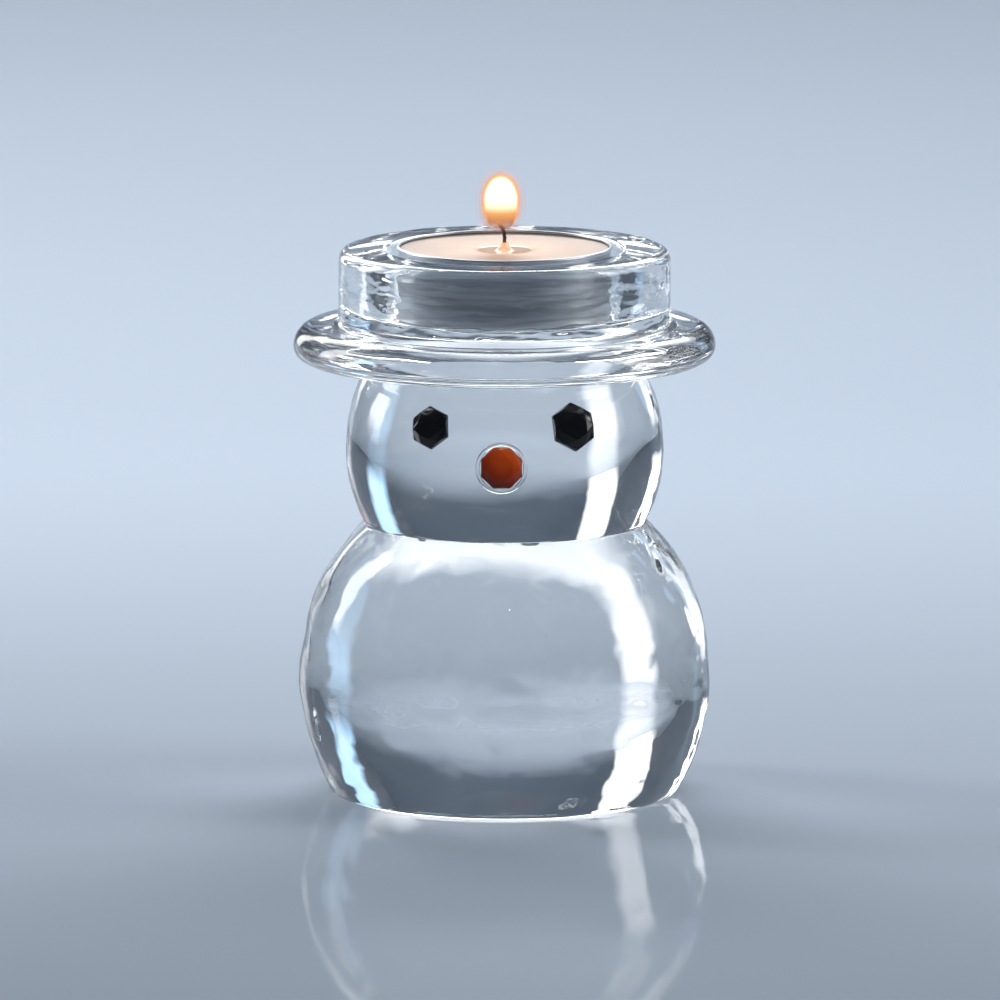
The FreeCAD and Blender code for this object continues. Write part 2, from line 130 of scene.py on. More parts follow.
class Graph:
    """One node tree, shader or geometry, and the means to fill it."""

    def __init__(self, tree: Tree) -> None:
        """Empties the tree.

        Args:
            tree: the tree to fill.
        """
        self.tree = tree
        tree.nodes.clear()

    def add(
        self,
        kind: str,
        settings: dict[str, Any] | None = None,
        sockets: dict[Any, Any] | None = None,
    ) -> bpy.types.Node:
        """Adds a node.

        Args:
            kind: the node's type.
            settings: its properties, set before its sockets.
            sockets: values or links for its inputs, by name or number.

        Returns:
            The node.
        """
        node = self.tree.nodes.new(kind)
        for name, setting in (settings or {}).items():
            setattr(node, name, setting)
        for name, given in (sockets or {}).items():
            self.feed(node.inputs[name], given)
        return node

    def feed(self, socket: Socket, given: Any) -> None:
        """Links an output to an input, or sets the input's own value."""
        if isinstance(given, Value):
            given = given.socket
        if isinstance(given, bpy.types.Node):
            given = given.outputs[0]
        if isinstance(given, Socket):
            self.tree.links.new(given, socket)
        else:
            socket.default_value = given

    def value(
        self,
        kind: str,
        settings: dict[str, Any] | None = None,
        sockets: dict[Any, Any] | None = None,
        output: Any = 0,
    ) -> Value:
        """Adds a node and wraps one of its outputs."""
        return Value(self, self.add(kind, settings, sockets).outputs[output])

    def split(self, vector: Any) -> tuple[Value, ...]:
        """The three parts of a vector."""
        outputs = self.add("ShaderNodeSeparateXYZ", None, {0: vector}).outputs
        return tuple(Value(self, output) for output in outputs)

    def principled(self, sockets: dict[str, Any]) -> Socket:
        """A Principled shader with these inputs."""
        return self.add("ShaderNodeBsdfPrincipled", None, sockets).outputs[0]

    def mixed(self, share: Any, first: Any, second: Any) -> Socket:
        """Two shaders, mixed by share."""
        return self.add("ShaderNodeMixShader", None, {0: share, 1: first, 2: second}).outputs[0]

    def vector(self, operation: str, first: Any, second: Any) -> Value:
        """A Vector Math node's vector; the second input of SCALE is a number."""
        last = "Scale" if operation == "SCALE" else 1
        sockets = {0: first, last: second}
        return self.value("ShaderNodeVectorMath", {"operation": operation}, sockets)

    def ramp(self, factor: Any, stops: Iterable[tuple[float, Colour]]) -> Socket:
        """A colour ramp.

        Args:
            factor: what drives it, 0 to 1.
            stops: positions and colours, in order.

        Returns:
            Its colour output.
        """
        node = self.add("ShaderNodeValToRGB", None, {0: factor})
        elements = node.color_ramp.elements
        for index, (place, colour) in enumerate(stops):
            element = elements[index] if index < 2 else elements.new(place)
            element.position = place
            element.color = (*colour, 1.0)
        return node.outputs[0]


def start_tree(name: str, inputs: dict[str, str]) -> tuple[Graph, Any]:
    """Starts a Geometry Nodes tree that takes geometry and some named inputs.

    Args:
        name: the tree's name.
        inputs: the kind of each further input, by its name.

    Returns:
        The graph, and the sockets that carry the inputs.
    """
    tree = bpy.data.node_groups.new(name, "GeometryNodeTree")
    for label, kind in ({"Geometry": "Geometry"} | inputs).items():
        tree.interface.new_socket(label, in_out="INPUT", socket_type=f"NodeSocket{kind}")
    tree.interface.new_socket("Geometry", in_out="OUTPUT", socket_type="NodeSocketGeometry")
    graph = Graph(tree)
    return graph, graph.add("NodeGroupInput").outputs


def grow(piece: Piece, tree: Tree, values: dict[str, Any]) -> bpy.types.Mesh:
    """What a Geometry Nodes tree makes of an object.

    Args:
        piece: the object that the tree starts from.
        tree: the tree.
        values: its inputs, by their names.

    Returns:
        A new, plain mesh.
    """
    modifier = piece.modifiers.new(tree.name, "NODES")
    modifier.node_group = tree
    for item in tree.interface.items_tree:
        if item.item_type == "SOCKET" and item.in_out == "INPUT" and item.name in values:
            modifier[item.identifier] = values[item.name]
    scene_graph = bpy.context.evaluated_depsgraph_get()
    scene_graph.update()
    mesh = bpy.data.meshes.new_from_object(piece.evaluated_get(scene_graph))
    while len(mesh.materials) and mesh.materials[0] is None:
        mesh.materials.pop(index=0)
    return mesh


def link(name: str, data: Any) -> Piece:
    """Puts a new object into the scene."""
    piece = bpy.data.objects.new(name, data)
    bpy.context.scene.collection.objects.link(piece)
    return piece


def vertices_of(mesh: bpy.types.Mesh) -> np.ndarray:
    """A mesh's vertices as rows."""
    flat = np.empty(len(mesh.vertices) * 3)
    mesh.vertices.foreach_get("co", flat)
    return flat.reshape(-1, 3)


# --------------------------------------------------------------------------------------
# Finishes
# --------------------------------------------------------------------------------------


@dataclass(frozen=True)
class Finish:
    """A named material on the Principled shader, and the helpers that its kinds share."""

    name: str

    def make(self) -> Material:
        """The Blender material, made the first time it is asked for."""
        known = bpy.data.materials.get(self.name)
        if known is not None:
            return known
        material = bpy.data.materials.new(self.name)
        material.use_nodes = True
        graph = Graph(material.node_tree)
        output = graph.add("ShaderNodeOutputMaterial")
        graph.feed(output.inputs["Surface"], self.shade(graph))
        return material

    def shade(self, graph: Graph) -> Socket:
        """Fills the tree and returns the shader output."""
        raise NotImplementedError

    @staticmethod
    def place(graph: Graph, scale: tuple[float, float, float] = (1.0, 1.0, 1.0)) -> Value:
        """Object coordinates, stretched by scale."""
        coordinates = graph.add("ShaderNodeTexCoord").outputs["Object"]
        return graph.value("ShaderNodeMapping", None, {"Vector": coordinates, "Scale": scale})

    @staticmethod
    def noise(graph: Graph, where: Value, scale: float, detail: float = 2.0) -> Value:
        """Noise from 0 to 1 at a scale given per metre."""
        sockets = {"Vector": where, "Scale": scale, "Detail": detail}
        return graph.value("ShaderNodeTexNoise", None, sockets, "Fac")

    @staticmethod
    def bump(graph: Graph, height: Value, strength: float, depth: float) -> Socket:
        """A Bump node's normal."""
        sockets = {"Height": height, "Strength": strength, "Distance": depth}
        return graph.add("ShaderNodeBump", None, sockets).outputs[0]

    @staticmethod
    def lamps_through(graph: Graph, shader: Any, tint: Colour) -> Socket:
        """Lets lamps reach what is behind a clear piece.

        Args:
            graph: the material's tree.
            shader: the clear shader.
            tint: how much of each colour a lamp's light keeps.

        Returns:
            The mixed shader.
        """
        path = graph.add("ShaderNodeLightPath").outputs["Is Shadow Ray"]
        open_way = graph.add("ShaderNodeBsdfTransparent", None, {"Color": (*tint, 1.0)})
        return graph.mixed(path, shader, open_way)


@dataclass(frozen=True)
class ClearGlass(Finish):
    """Polished soda glass, with the faint pull lines that casting leaves."""

    tint: Colour = (0.985, 0.995, 0.992)
    ior: float = 1.52
    line_strength: float = 0.05
    lamps_pass: bool = False
    lamp_tint: Colour = (0.93, 0.95, 0.96)

    def shade(self, graph: Graph) -> Socket:
        """Clear glass whose normal wavers slightly along the casting lines."""
        where = self.place(graph, (60.0, 60.0, 420.0))
        waver = self.noise(graph, where, 1.0, 1.5)
        normal = self.bump(graph, waver, self.line_strength, 0.25 * MM)
        sockets = {
            "Base Color": (*self.tint, 1.0),
            "Roughness": 0.0,
            "IOR": self.ior,
            "Transmission Weight": 1.0,
            "Normal": normal,
        }
        glass = graph.principled(sockets)
        return self.lamps_through(graph, glass, self.lamp_tint) if self.lamps_pass else glass


@dataclass(frozen=True)
class BondedFace(Finish):
    """A glass face with clear adhesive on it, which light crosses unbent."""

    def shade(self, graph: Graph) -> Socket:
        """A clear face."""
        colour = {"Color": (1.0, 1.0, 1.0, 1.0)}
        return graph.add("ShaderNodeBsdfTransparent", None, colour).outputs[0]


@dataclass(frozen=True)
class BlackStone(Finish):
    """Polished black glass stone."""

    colour: Colour = (0.004, 0.004, 0.005)

    def shade(self, graph: Graph) -> Socket:
        """Deep black with hairline polishing marks."""
        marks = self.noise(graph, self.place(graph), 2600.0, 3.0)
        sockets = {
            "Base Color": (*self.colour, 1.0),
            "Roughness": 0.04 + marks * 0.06,
            "IOR": 1.45,
        }
        return graph.principled(sockets)


@dataclass(frozen=True)
class AmberStone(Finish):
    """Amber-red glass stone over foil, with painted light: a painted highlight above and to the
    right, painted shade deep red below and towards the girdle, and a faint painted glow.
    """

    centre: tuple[float, float, float] = (0.0, 0.0, 0.0)
    reach: float = 3.9 * MM
    painted_shade_middle: float = 0.4
    outward: float = 0.25
    painted_shade_per_height: float = -0.4
    painted_shade_per_side: float = -0.16
    painted_shade_colours: tuple[tuple[float, Colour], ...] = (
        (0.0, (0.9, 0.16, 0.012)),
        (0.3, (0.66, 0.08, 0.007)),
        (0.6, (0.38, 0.036, 0.005)),
        (1.0, (0.08, 0.006, 0.004)),
    )

    def shade(self, graph: Graph) -> Socket:
        """Glossy amber stone with painted shade that deepens outwards and downwards and a painted
        highlight to the upper right.
        """
        coordinates = graph.add("ShaderNodeTexCoord").outputs["Object"]
        offset = graph.vector("SUBTRACT", coordinates, self.centre)
        length = {"operation": "LENGTH"}
        away = graph.value("ShaderNodeVectorMath", length, {0: offset}, "Value") / self.reach
        aside, _, height = (part / self.reach for part in graph.split(offset))
        # painted shade and highlight: darker towards the girdle and below, lighter above and to the
        # right
        depth = self.painted_shade_middle + away * self.outward
        depth = depth + height * self.painted_shade_per_height + aside * self.painted_shade_per_side
        colour = graph.ramp(depth, self.painted_shade_colours)
        sockets = {
            "Base Color": colour,
            "Roughness": 0.06,
            "IOR": 1.5,
            "Specular IOR Level": 0.3,
            # painted glow: the stone gives off a little light in its own colour
            "Emission Color": colour,
            "Emission Strength": 0.15,
        }
        return graph.principled(sockets)


@dataclass(frozen=True)
class StoneFoil(Finish):
    """The mirror foil on a stone's flat back."""

    colour: Colour = (0.86, 0.42, 0.16)

    def shade(self, graph: Graph) -> Socket:
        """Crinkled foil."""
        crinkle = self.noise(graph, self.place(graph), 900.0, 3.0)
        sockets = {
            "Base Color": (*self.colour, 1.0),
            "Metallic": 1.0,
            "Roughness": 0.22,
            "Normal": self.bump(graph, crinkle, 0.4, 0.1 * MM),
        }
        return graph.principled(sockets)


@dataclass(frozen=True)
class DrawnAluminium(Finish):
    """Thin drawn foil with fine rings left by the die."""

    colour: Colour = (0.66, 0.69, 0.73)
    line_shade: float = 0.66
    roughness: float = 0.26

    def shade(self, graph: Graph) -> Socket:
        """Satin metal, ringed by fine draw lines, with slow dents."""
        rings = self.noise(graph, self.place(graph, (90.0, 90.0, 1500.0)), 1.0, 4.0)
        dents = self.noise(graph, self.place(graph), 260.0, 2.0)
        dark = tuple(self.line_shade * part for part in self.colour)
        sockets = {
            "Base Color": graph.ramp(rings, [(0.36, dark), (0.64, self.colour)]),
            "Metallic": 1.0,
            "Roughness": self.roughness + rings * 0.16,
            "Normal": self.bump(graph, rings * 0.25 + dents, 0.25, 0.12 * MM),
        }
        return graph.principled(sockets)


@dataclass(frozen=True)
class TinnedSteel(Finish):
    """Tinned sheet."""

    def shade(self, graph: Graph) -> Socket:
        """Bright metal with a mottled tin coat."""
        mottle = self.noise(graph, self.place(graph), 700.0, 4.0)
        sockets = {
            "Base Color": graph.ramp(mottle, [(0.3, (0.5, 0.5, 0.5)), (0.7, (0.68, 0.68, 0.67))]),
            "Metallic": 1.0,
            "Roughness": 0.25 + mottle * 0.2,
        }
        return graph.principled(sockets)


@dataclass(frozen=True)
class CandleWax(Finish):
    """Cream wax tinted peach by painted flame light, with a stronger painted glow near the wick,
    and wet where it has melted.
    """

    top_height: float = 0.0
    pool_radius: float = 5.0 * MM
    # how far the painted flame glow reaches, across from the wick and down from the top
    flame_glow_radius: float = 20.0 * MM
    flame_glow_depth: float = 2.5 * MM
    # the peach in this base colour is painted flame light over the wax's own cream
    wax: Colour = (0.8, 0.61, 0.49)
    lump_shade: float = 0.97
    # colour of the painted flame glow
    painted_flame_glow: Colour = (0.62, 0.3, 0.13)

    def shade(self, graph: Graph) -> Socket:
        """Translucent wax: wet towards the wick, where painted flame light glows in it, frosted
        further out.
        """
        where = self.place(graph)
        across, along, height = graph.split(where)
        radius = (across * across + along * along).math("SQRT")
        wet = (1.25 - radius / self.pool_radius).math("MULTIPLY", 2.5, clamp=True)
        # painted flame light: a glow mask strongest near the wick and at the top of the wax
        flame_glow_falloff = (1.0 - radius / self.flame_glow_radius).math("MAXIMUM", 0.0)
        top = ((height - self.top_height) / self.flame_glow_depth + 1.0).math("MINIMUM", 1.0)
        glow = (flame_glow_falloff ** 2.0) * top.math("MAXIMUM", 0.0)
        frost = self.noise(graph, where, 900.0, 4.0)
        lumps = self.noise(graph, where, 170.0, 2.0)
        dull = tuple(self.lump_shade * part for part in self.wax)
        sockets = {
            "Base Color": graph.ramp(lumps, [(0.25, dull), (0.75, self.wax)]),
            "Roughness": 0.42 + frost * 0.16 - wet * 0.32,
            "Coat Weight": wet * 0.5,
            "Coat Roughness": 0.04,
            "Subsurface Weight": 0.5,
            "Subsurface Radius": (1.0, 0.62, 0.4),
            "Subsurface Scale": 2.5 * MM,
            # painted light: the flame's glow painted onto the wax as emission
            "Emission Color": graph.ramp(glow, [(0.0, (0.0, 0.0, 0.0)), (1.0, self.painted_flame_glow)]),
            "Emission Strength": 0.8,
            "Normal": self.bump(graph, lumps + frost * 0.15 * (1.0 - wet), 0.3, 0.15 * MM),
        }
        return graph.principled(sockets)


@dataclass(frozen=True)
class CharredCotton(Finish):
    """Cotton braid: waxed near the wax, charred above, with an ember at the tip."""

    wax_height: float = 0.0
    tip_height: float = 0.0

    def shade(self, graph: Graph) -> Socket:
        """From cream through soot to a glowing tip."""
        where = self.place(graph)
        height = graph.split(where)[2]
        share = (height - self.wax_height) / (self.tip_height - self.wax_height)
        fibre = self.noise(graph, where, 3500.0, 3.0)
        colour = graph.ramp(
            share + (fibre - 0.5) * 0.15,
            [(0.0, (0.75, 0.6, 0.42)), (0.3, (0.16, 0.07, 0.035)), (0.6, (0.016, 0.012, 0.01))],
        )
        ember = graph.ramp(share, [(0.86, (0.0, 0.0, 0.0)), (1.0, (1.0, 0.25, 0.04))])
        sockets = {
            "Base Color": colour,
            "Roughness": 0.85,
            "Emission Color": ember,
            "Emission Strength": 2.0,
            "Normal": self.bump(graph, fibre, 0.6, 0.1 * MM),
        }
        return graph.principled(sockets)


@dataclass(frozen=True)
class FlameShell(Finish):
    """One luminous shell of the flame, thinning out towards its root."""

    root: float = 0.0
    tip: float = 1.0
    colours: tuple[tuple[float, Colour], ...] = ()
    cover: tuple[tuple[float, float], ...] = ()
    strength: float = 1.0

    def shade(self, graph: Graph) -> Socket:
        """Plain light whose colour and cover change with height."""
        height = graph.split(self.place(graph))[2]
        share = (height - self.root) / (self.tip - self.root)
        cover = graph.ramp(share, [(place, (c, c, c)) for place, c in self.cover])
        sockets = {
            "Base Color": (0.0, 0.0, 0.0, 1.0),
            "Roughness": 1.0,
            "Specular IOR Level": 0.0,
            "Emission Color": graph.ramp(share, self.colours),
            "Emission Strength": self.strength,
            "Alpha": cover,
        }
        return graph.principled(sockets)


@dataclass(frozen=True)
class StudioPaper(Finish):
    """Plain coated studio board, which is clear from behind so that no view is blocked."""

    colour: Colour = (0.47, 0.54, 0.63)
    direct_dulling: float = 0.75

    def shade(self, graph: Graph) -> Socket:
        """Matt board under a glossy coat, whose reflections are dulled where seen directly."""
        plain = {"Base Color": (*self.colour, 1.0), "Roughness": 0.9, "Specular IOR Level": 0.2}
        coat = {"Coat Weight": 1.0, "Coat Roughness": 0.05, "Coat IOR": 1.7}
        matt = graph.principled(plain)
        coated = graph.principled(plain | coat)
        direct = graph.value("ShaderNodeLightPath", output="Is Camera Ray")
        board = graph.mixed(direct * self.direct_dulling, coated, matt)
        behind = graph.add("ShaderNodeNewGeometry").outputs["Backfacing"]
        return graph.mixed(behind, board, graph.add("ShaderNodeBsdfTransparent"))


GLASS = ClearGlass("clear_glass_polished")
HAT_GLASS = ClearGlass("clear_glass_hat", line_strength=0.12, lamps_pass=True)
BONDED = BondedFace("glass_bonded_face")


# --------------------------------------------------------------------------------------
# Turned shapes
# --------------------------------------------------------------------------------------


@dataclass
class Profile:
    """A half-section as (radius, height) points, with what each step between them is."""

    points: list[Point]
    ripples: list[float] = field(default_factory=lambda: [0.0])
    bonded: list[bool] = field(default_factory=list)

    def _add(self, point: Point, ripple: float, bonded: bool) -> None:
        """Adds one point."""
        self.points.append(point)
        self.ripples.append(ripple)
        self.bonded.append(bonded)

    def line(
        self,
        radius: float,
        height: float,
        steps: int = 1,
        ripple: float = 0.0,
        bonded: bool = False,
    ) -> "Profile":
        """Adds a straight run to a point.

        Args:
            radius: the point's distance from the axis.
            height: its height.
            steps: how many steps the run has.
            ripple: how far casting ripples show there, 0 to 1.
            bonded: true where clear adhesive covers it.

        Returns:
            This profile, so that calls can be chained.
        """
        start = self.points[-1]
        for step in range(1, steps + 1):
            share = step / steps
            point = (
                start[0] + (radius - start[0]) * share,
                start[1] + (height - start[1]) * share,
            )
            self._add(point, ripple, bonded)
        return self

    def arc(
        self,
        centre: Point,
        radius: float,
        start: float,
        end: float,
        steps: int,
        ripple: float = 0.0,
    ) -> "Profile":
        """Adds an arc.

        Args:
            centre: the arc's centre.
            radius: its radius.
            start: where it starts, in degrees from the outward direction.
            end: where it ends.
            steps: how many steps it has.
            ripple: how far casting ripples show there, 0 to 1.

        Returns:
            This profile, so that calls can be chained.
        """
        for step in range(1, steps + 1):
            angle = math.radians(start + (end - start) * step / steps)
            out, up = radius * math.cos(angle), radius * math.sin(angle)
            self._add((centre[0] + out, centre[1] + up), ripple, False)
        return self


class Lathe:
    """Turns a profile about the vertical axis with Geometry Nodes, and ripples its skin."""

    NAME = "turned_glass"
    INPUTS = {
        "Segments": "Int",
        "Ripple Height": "Float",
        "Ripples Across": "Float",
        "Ripples Up": "Float",
        "Fine Share": "Float",
        "Seed": "Float",
        "Skin": "Material",
        "Bonded": "Material",
    }
    SEAM = 0.8e-6

    @classmethod
    def tree(cls) -> Tree:
        """The shared node tree, made once."""
        known = bpy.data.node_groups.get(cls.NAME)
        if known is not None:
            return known
        graph, given = start_tree(cls.NAME, cls.INPUTS)
        section = given["Geometry"]
        size = {"Geometry": section}
        count = graph.value("GeometryNodeAttributeDomainSize", None, size, "Point Count")
        sizes = {
            "Size X": 1.0,
            "Size Y": 1.0,
            "Vertices X": count,
            "Vertices Y": Value(graph, given["Segments"]) + 1.0,
        }
        grid = graph.add("GeometryNodeMeshGrid", None, sizes)
        along, turn, _ = graph.split(graph.add("GeometryNodeInputPosition"))
        ring = (along + 0.5) * (count - 1.0)
        angle = (turn + 0.5) * (2.0 * math.pi)
        nearest = ring.math("ROUND")
        position = graph.add("GeometryNodeInputPosition")
        place = graph.add(
            "GeometryNodeSampleIndex",
            {"data_type": "FLOAT_VECTOR", "domain": "POINT"},
            {"Geometry": section, "Value": position, "Index": nearest},
        )
        weight = cls._sampled(graph, section, "ripple", "POINT", nearest)
        bonded = cls._sampled(graph, section, "bonded", "EDGE", ring.math("FLOOR"))
        kept = graph.add(
            "GeometryNodeStoreNamedAttribute",
            {"data_type": "FLOAT", "domain": "POINT"},
            {"Geometry": grid.outputs["Mesh"], "Name": "ripple_weight", "Value": weight},
        )
        marked = graph.add(
            "GeometryNodeStoreNamedAttribute",
            {"data_type": "FLOAT", "domain": "FACE"},
            {"Geometry": kept, "Name": "bonded_face", "Value": bonded},
        )
        radius, _, height = graph.split(place)
        parts = {0: radius * angle.math("COSINE"), 1: radius * angle.math("SINE"), 2: height}
        turned = graph.add("ShaderNodeCombineXYZ", None, parts)
        sockets = {"Geometry": marked, "Position": turned}
        placed = graph.add("GeometryNodeSetPosition", None, sockets)
        seam = {"Geometry": placed, "Distance": cls.SEAM}
        closed = graph.add("GeometryNodeMergeByDistance", None, seam)
        offset = {"Geometry": closed, "Offset": cls._offset(graph, given)}
        rippled = graph.add("GeometryNodeSetPosition", None, offset)
        outward = graph.add("GeometryNodeFlipFaces", None, {"Mesh": rippled})
        smooth = graph.add("GeometryNodeSetShadeSmooth", None, {"Geometry": outward})
        real = graph.add("GeometryNodeRealizeInstances", None, {"Geometry": smooth})
        sockets = {"Geometry": real, "Material": given["Skin"]}
        skin = graph.add("GeometryNodeSetMaterial", None, sockets)
        is_bonded = cls._named(graph, "bonded_face").math("GREATER_THAN", 0.5)
        sockets = {"Geometry": skin, "Selection": is_bonded, "Material": given["Bonded"]}
        final = graph.add("GeometryNodeSetMaterial", None, sockets)
        graph.add("NodeGroupOutput", None, {"Geometry": final})
        return graph.tree

    @staticmethod
    def _named(graph: Graph, name: str) -> Value:
        """A stored number, read back by name."""
        return graph.value(
            "GeometryNodeInputNamedAttribute", {"data_type": "FLOAT"}, {"Name": name}, "Attribute"
        )

    @classmethod
    def _sampled(
        cls, graph: Graph, section: Socket, name: str, domain: str, index: Value
    ) -> Value:
        """A number stored on the profile, read at an index."""
        return graph.value(
            "GeometryNodeSampleIndex",
            {"data_type": "FLOAT", "domain": domain},
            {"Geometry": section, "Value": cls._named(graph, name), "Index": index},
        )

    @classmethod
    def _offset(cls, graph: Graph, given: Any) -> Value:
        """The ripple along the surface normal."""
        parts = graph.split(graph.add("GeometryNodeInputPosition"))
        across = given["Ripples Across"]
        scaled = {
            index: part * scale
            for index, (part, scale) in enumerate(zip(parts, (across, across, given["Ripples Up"])))
        }
        where = graph.add("ShaderNodeCombineXYZ", None, scaled)
        waves = [
            graph.value(
                "ShaderNodeTexNoise",
                {"noise_dimensions": "4D"},
                {"Vector": where, "W": given["Seed"], "Scale": scale, "Detail": 0.6},
                "Fac",
            )
            for scale in (1.0, 3.7)
        ]
        both = (waves[0] - 0.5) + (waves[1] - 0.5) * given["Fine Share"]
        reach = both * 2.0 * given["Ripple Height"] * cls._named(graph, "ripple_weight")
        return graph.vector("SCALE", graph.add("GeometryNodeInputNormal"), reach)

    @classmethod
    def turn(
        cls,
        name: str,
        profile: Profile,
        skin: Material,
        segments: int = 288,
        ripple: float = 0.0,
        across: float = 60.0,
        up: float = 200.0,
        fine: float = 0.1,
        seed: float = 0.0,
        bonded: Material | None = None,
        sharp_above: float = 30.0,
    ) -> Piece:
        """Makes a closed, turned mesh.

        Args:
            name: the object's name.
            profile: the half-section, from the axis round to the axis, its body on the left.
            skin: the material of its faces.
            segments: how many steps it has round the axis.
            ripple: the height of the casting ripples, in metres.
            across: how close the ripples are along the horizontal, per metre.
            up: how close they are along the vertical, per metre.
            fine: how high a finer set of ripples is, against the coarse set.
            seed: which ripples.
            bonded: the material where adhesive covers it.
            sharp_above: the angle between faces past which an edge stays sharp, in degrees.

        Returns:
            The object, with a plain mesh and no modifier.
        """
        mesh = bpy.data.meshes.new(name)
        count = len(profile.points)
        mesh.from_pydata(
            [(radius, 0.0, height) for radius, height in profile.points],
            [(index, index + 1) for index in range(count - 1)],
            [],
        )
        mesh.attributes.new("ripple", "FLOAT", "POINT").data.foreach_set("value", profile.ripples)
        steps = [float(flag) for flag in profile.bonded]
        mesh.attributes.new("bonded", "FLOAT", "EDGE").data.foreach_set("value", steps)
        section = link(name, mesh)
        values = {
            "Segments": segments,
            "Ripple Height": ripple,
            "Ripples Across": across,
            "Ripples Up": up,
            "Fine Share": fine,
            "Seed": seed,
            "Skin": skin,
            "Bonded": bonded or skin,
        }
        turned = grow(section, cls.tree(), values)
        bpy.data.objects.remove(section)
        for stray in ("ripple_weight", "bonded_face"):
            turned.attributes.remove(turned.attributes[stray])
        turned.set_sharp_from_angle(angle=math.radians(sharp_above))
        return link(name, turned)


# --------------------------------------------------------------------------------------
# The holder
# --------------------------------------------------------------------------------------


class Body(Enum):
    """The three bodies that move apart."""

    HOLDER = "holder"
    TEALIGHT = "tealight"
    CANDLE = "candle"


class Slot(Enum):
    """Names of the record's material slots; settle() is given them but does not read them."""

    GLASS = "clear_glass"
    ADHESIVE = "clear_adhesive"
    BLACK = "black_stone"
    AMBER = "amber_stone"
    CUP = "cup_aluminium"
    WAX = "white_wax"
    WICK = "wick_cotton"


def settle(piece: Piece, body: Body, slot: Slot, *nodes: str) -> None:
    """Hands a finished piece over to the frame.

    Args:
        piece: the piece, in place.
        body: the body it rides on.
        slot: not used.
        nodes: the CAD nodes that it stands for.
    """
    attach(piece, body.value)
    if nodes:
        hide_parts(*nodes)
    LOG.info("%s: %d faces on %s", piece.name, len(piece.data.polygons), body.value)


def refinish(piece: Piece, finish: Finish) -> None:
    """Gives a plain piece its own material."""
    piece.data.materials.clear()
    piece.data.materials.append(finish.make())


@dataclass(frozen=True)
class Seat:
    """Where a face stone sits: the place of its flat back, and the way it faces."""

    name: str

    def matrix(self) -> Matrix:
        """The seat's own frame at the stone's back, with Z out of the face and Y upwards."""
        film = vertices_of(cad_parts[f"{self.name}_bond"].data)
        centre = film.mean(axis=0)
        normal = np.linalg.svd(film - centre)[2][2]
        if normal[1] > 0:
            normal = -normal
        back = centre + normal * ((self._stone() - centre) @ normal).min()
        side = np.cross((0.0, 0.0, 1.0), normal)
        side = side / np.linalg.norm(side)
        rows = np.column_stack((side, np.cross(normal, side), normal, back))
        return Matrix([*rows.tolist(), [0.0, 0.0, 0.0, 1.0]])

    def _stone(self) -> np.ndarray:
        """The plain stone's vertices."""
        return vertices_of(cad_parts[self.name].data)

    def _corners(self) -> list[Vector]:
        """The stone's outermost corners, in the seat's frame."""
        place = self.matrix().inverted()
        spots = [(place @ Vector(point)).xy for point in self._stone()]
        reach = max(spot.length for spot in spots)
        return [spot for spot in spots if spot.length > reach - 0.01 * MM]

    def corner_radius(self) -> float:
        """The distance from the stone's axis to its corners."""
        return max(spot.length for spot in self._corners())

    def spin(self) -> float:
        """The angle from straight up to the highest corner."""
        top = max(self._corners(), key=lambda spot: spot.y)
        return math.atan2(-top.x, top.y)


@dataclass
class SeedBubbles:
    """Tiny air bubbles caught in the glass: cavities, so their faces point into the air."""

    places: tuple[tuple[float, float, float], ...]
    radius: float = 0.15 * MM
    seed: int = 4

    @staticmethod
    def tree() -> Tree:
        """A tree that sets a hollow ball of a random size on each point."""
        inputs = {"Bubble Radius": "Float", "Seed": "Int", "Glass": "Material"}
        graph, given = start_tree("seed_bubbles", inputs)
        sizes = {"Radius": given["Bubble Radius"], "Subdivisions": 3}
        ball = graph.add("GeometryNodeMeshIcoSphere", None, sizes).outputs["Mesh"]
        seed = {"Seed": given["Seed"]}
        size = graph.value("FunctionNodeRandomValue", {"data_type": "FLOAT"}, seed, 1) + 0.5
        sockets = {"Points": given["Geometry"], "Instance": ball, "Scale": size}
        many = graph.add("GeometryNodeInstanceOnPoints", None, sockets)
        real = graph.add("GeometryNodeRealizeInstances", None, {"Geometry": many})
        hollow = graph.add("GeometryNodeFlipFaces", None, {"Mesh": real})
        smooth = graph.add("GeometryNodeSetShadeSmooth", None, {"Geometry": hollow})
        sockets = {"Geometry": smooth, "Material": given["Glass"]}
        final = graph.add("GeometryNodeSetMaterial", None, sockets)
        graph.add("NodeGroupOutput", None, {"Geometry": final})
        return graph.tree

    def sink(self, glass: Piece) -> None:
        """Adds the bubbles to a piece of glass."""
        mesh = bpy.data.meshes.new("bubble_places")
        mesh.from_pydata([tuple(part * MM for part in place) for place in self.places], [], [])
        points = link("bubble_places", mesh)
        values = {"Bubble Radius": self.radius, "Seed": self.seed, "Glass": glass.data.materials[0]}
        both = bmesh.new()
        both.from_mesh(glass.data)
        both.from_mesh(grow(points, self.tree(), values))
        both.to_mesh(glass.data)
        both.free()
        bpy.data.objects.remove(points)


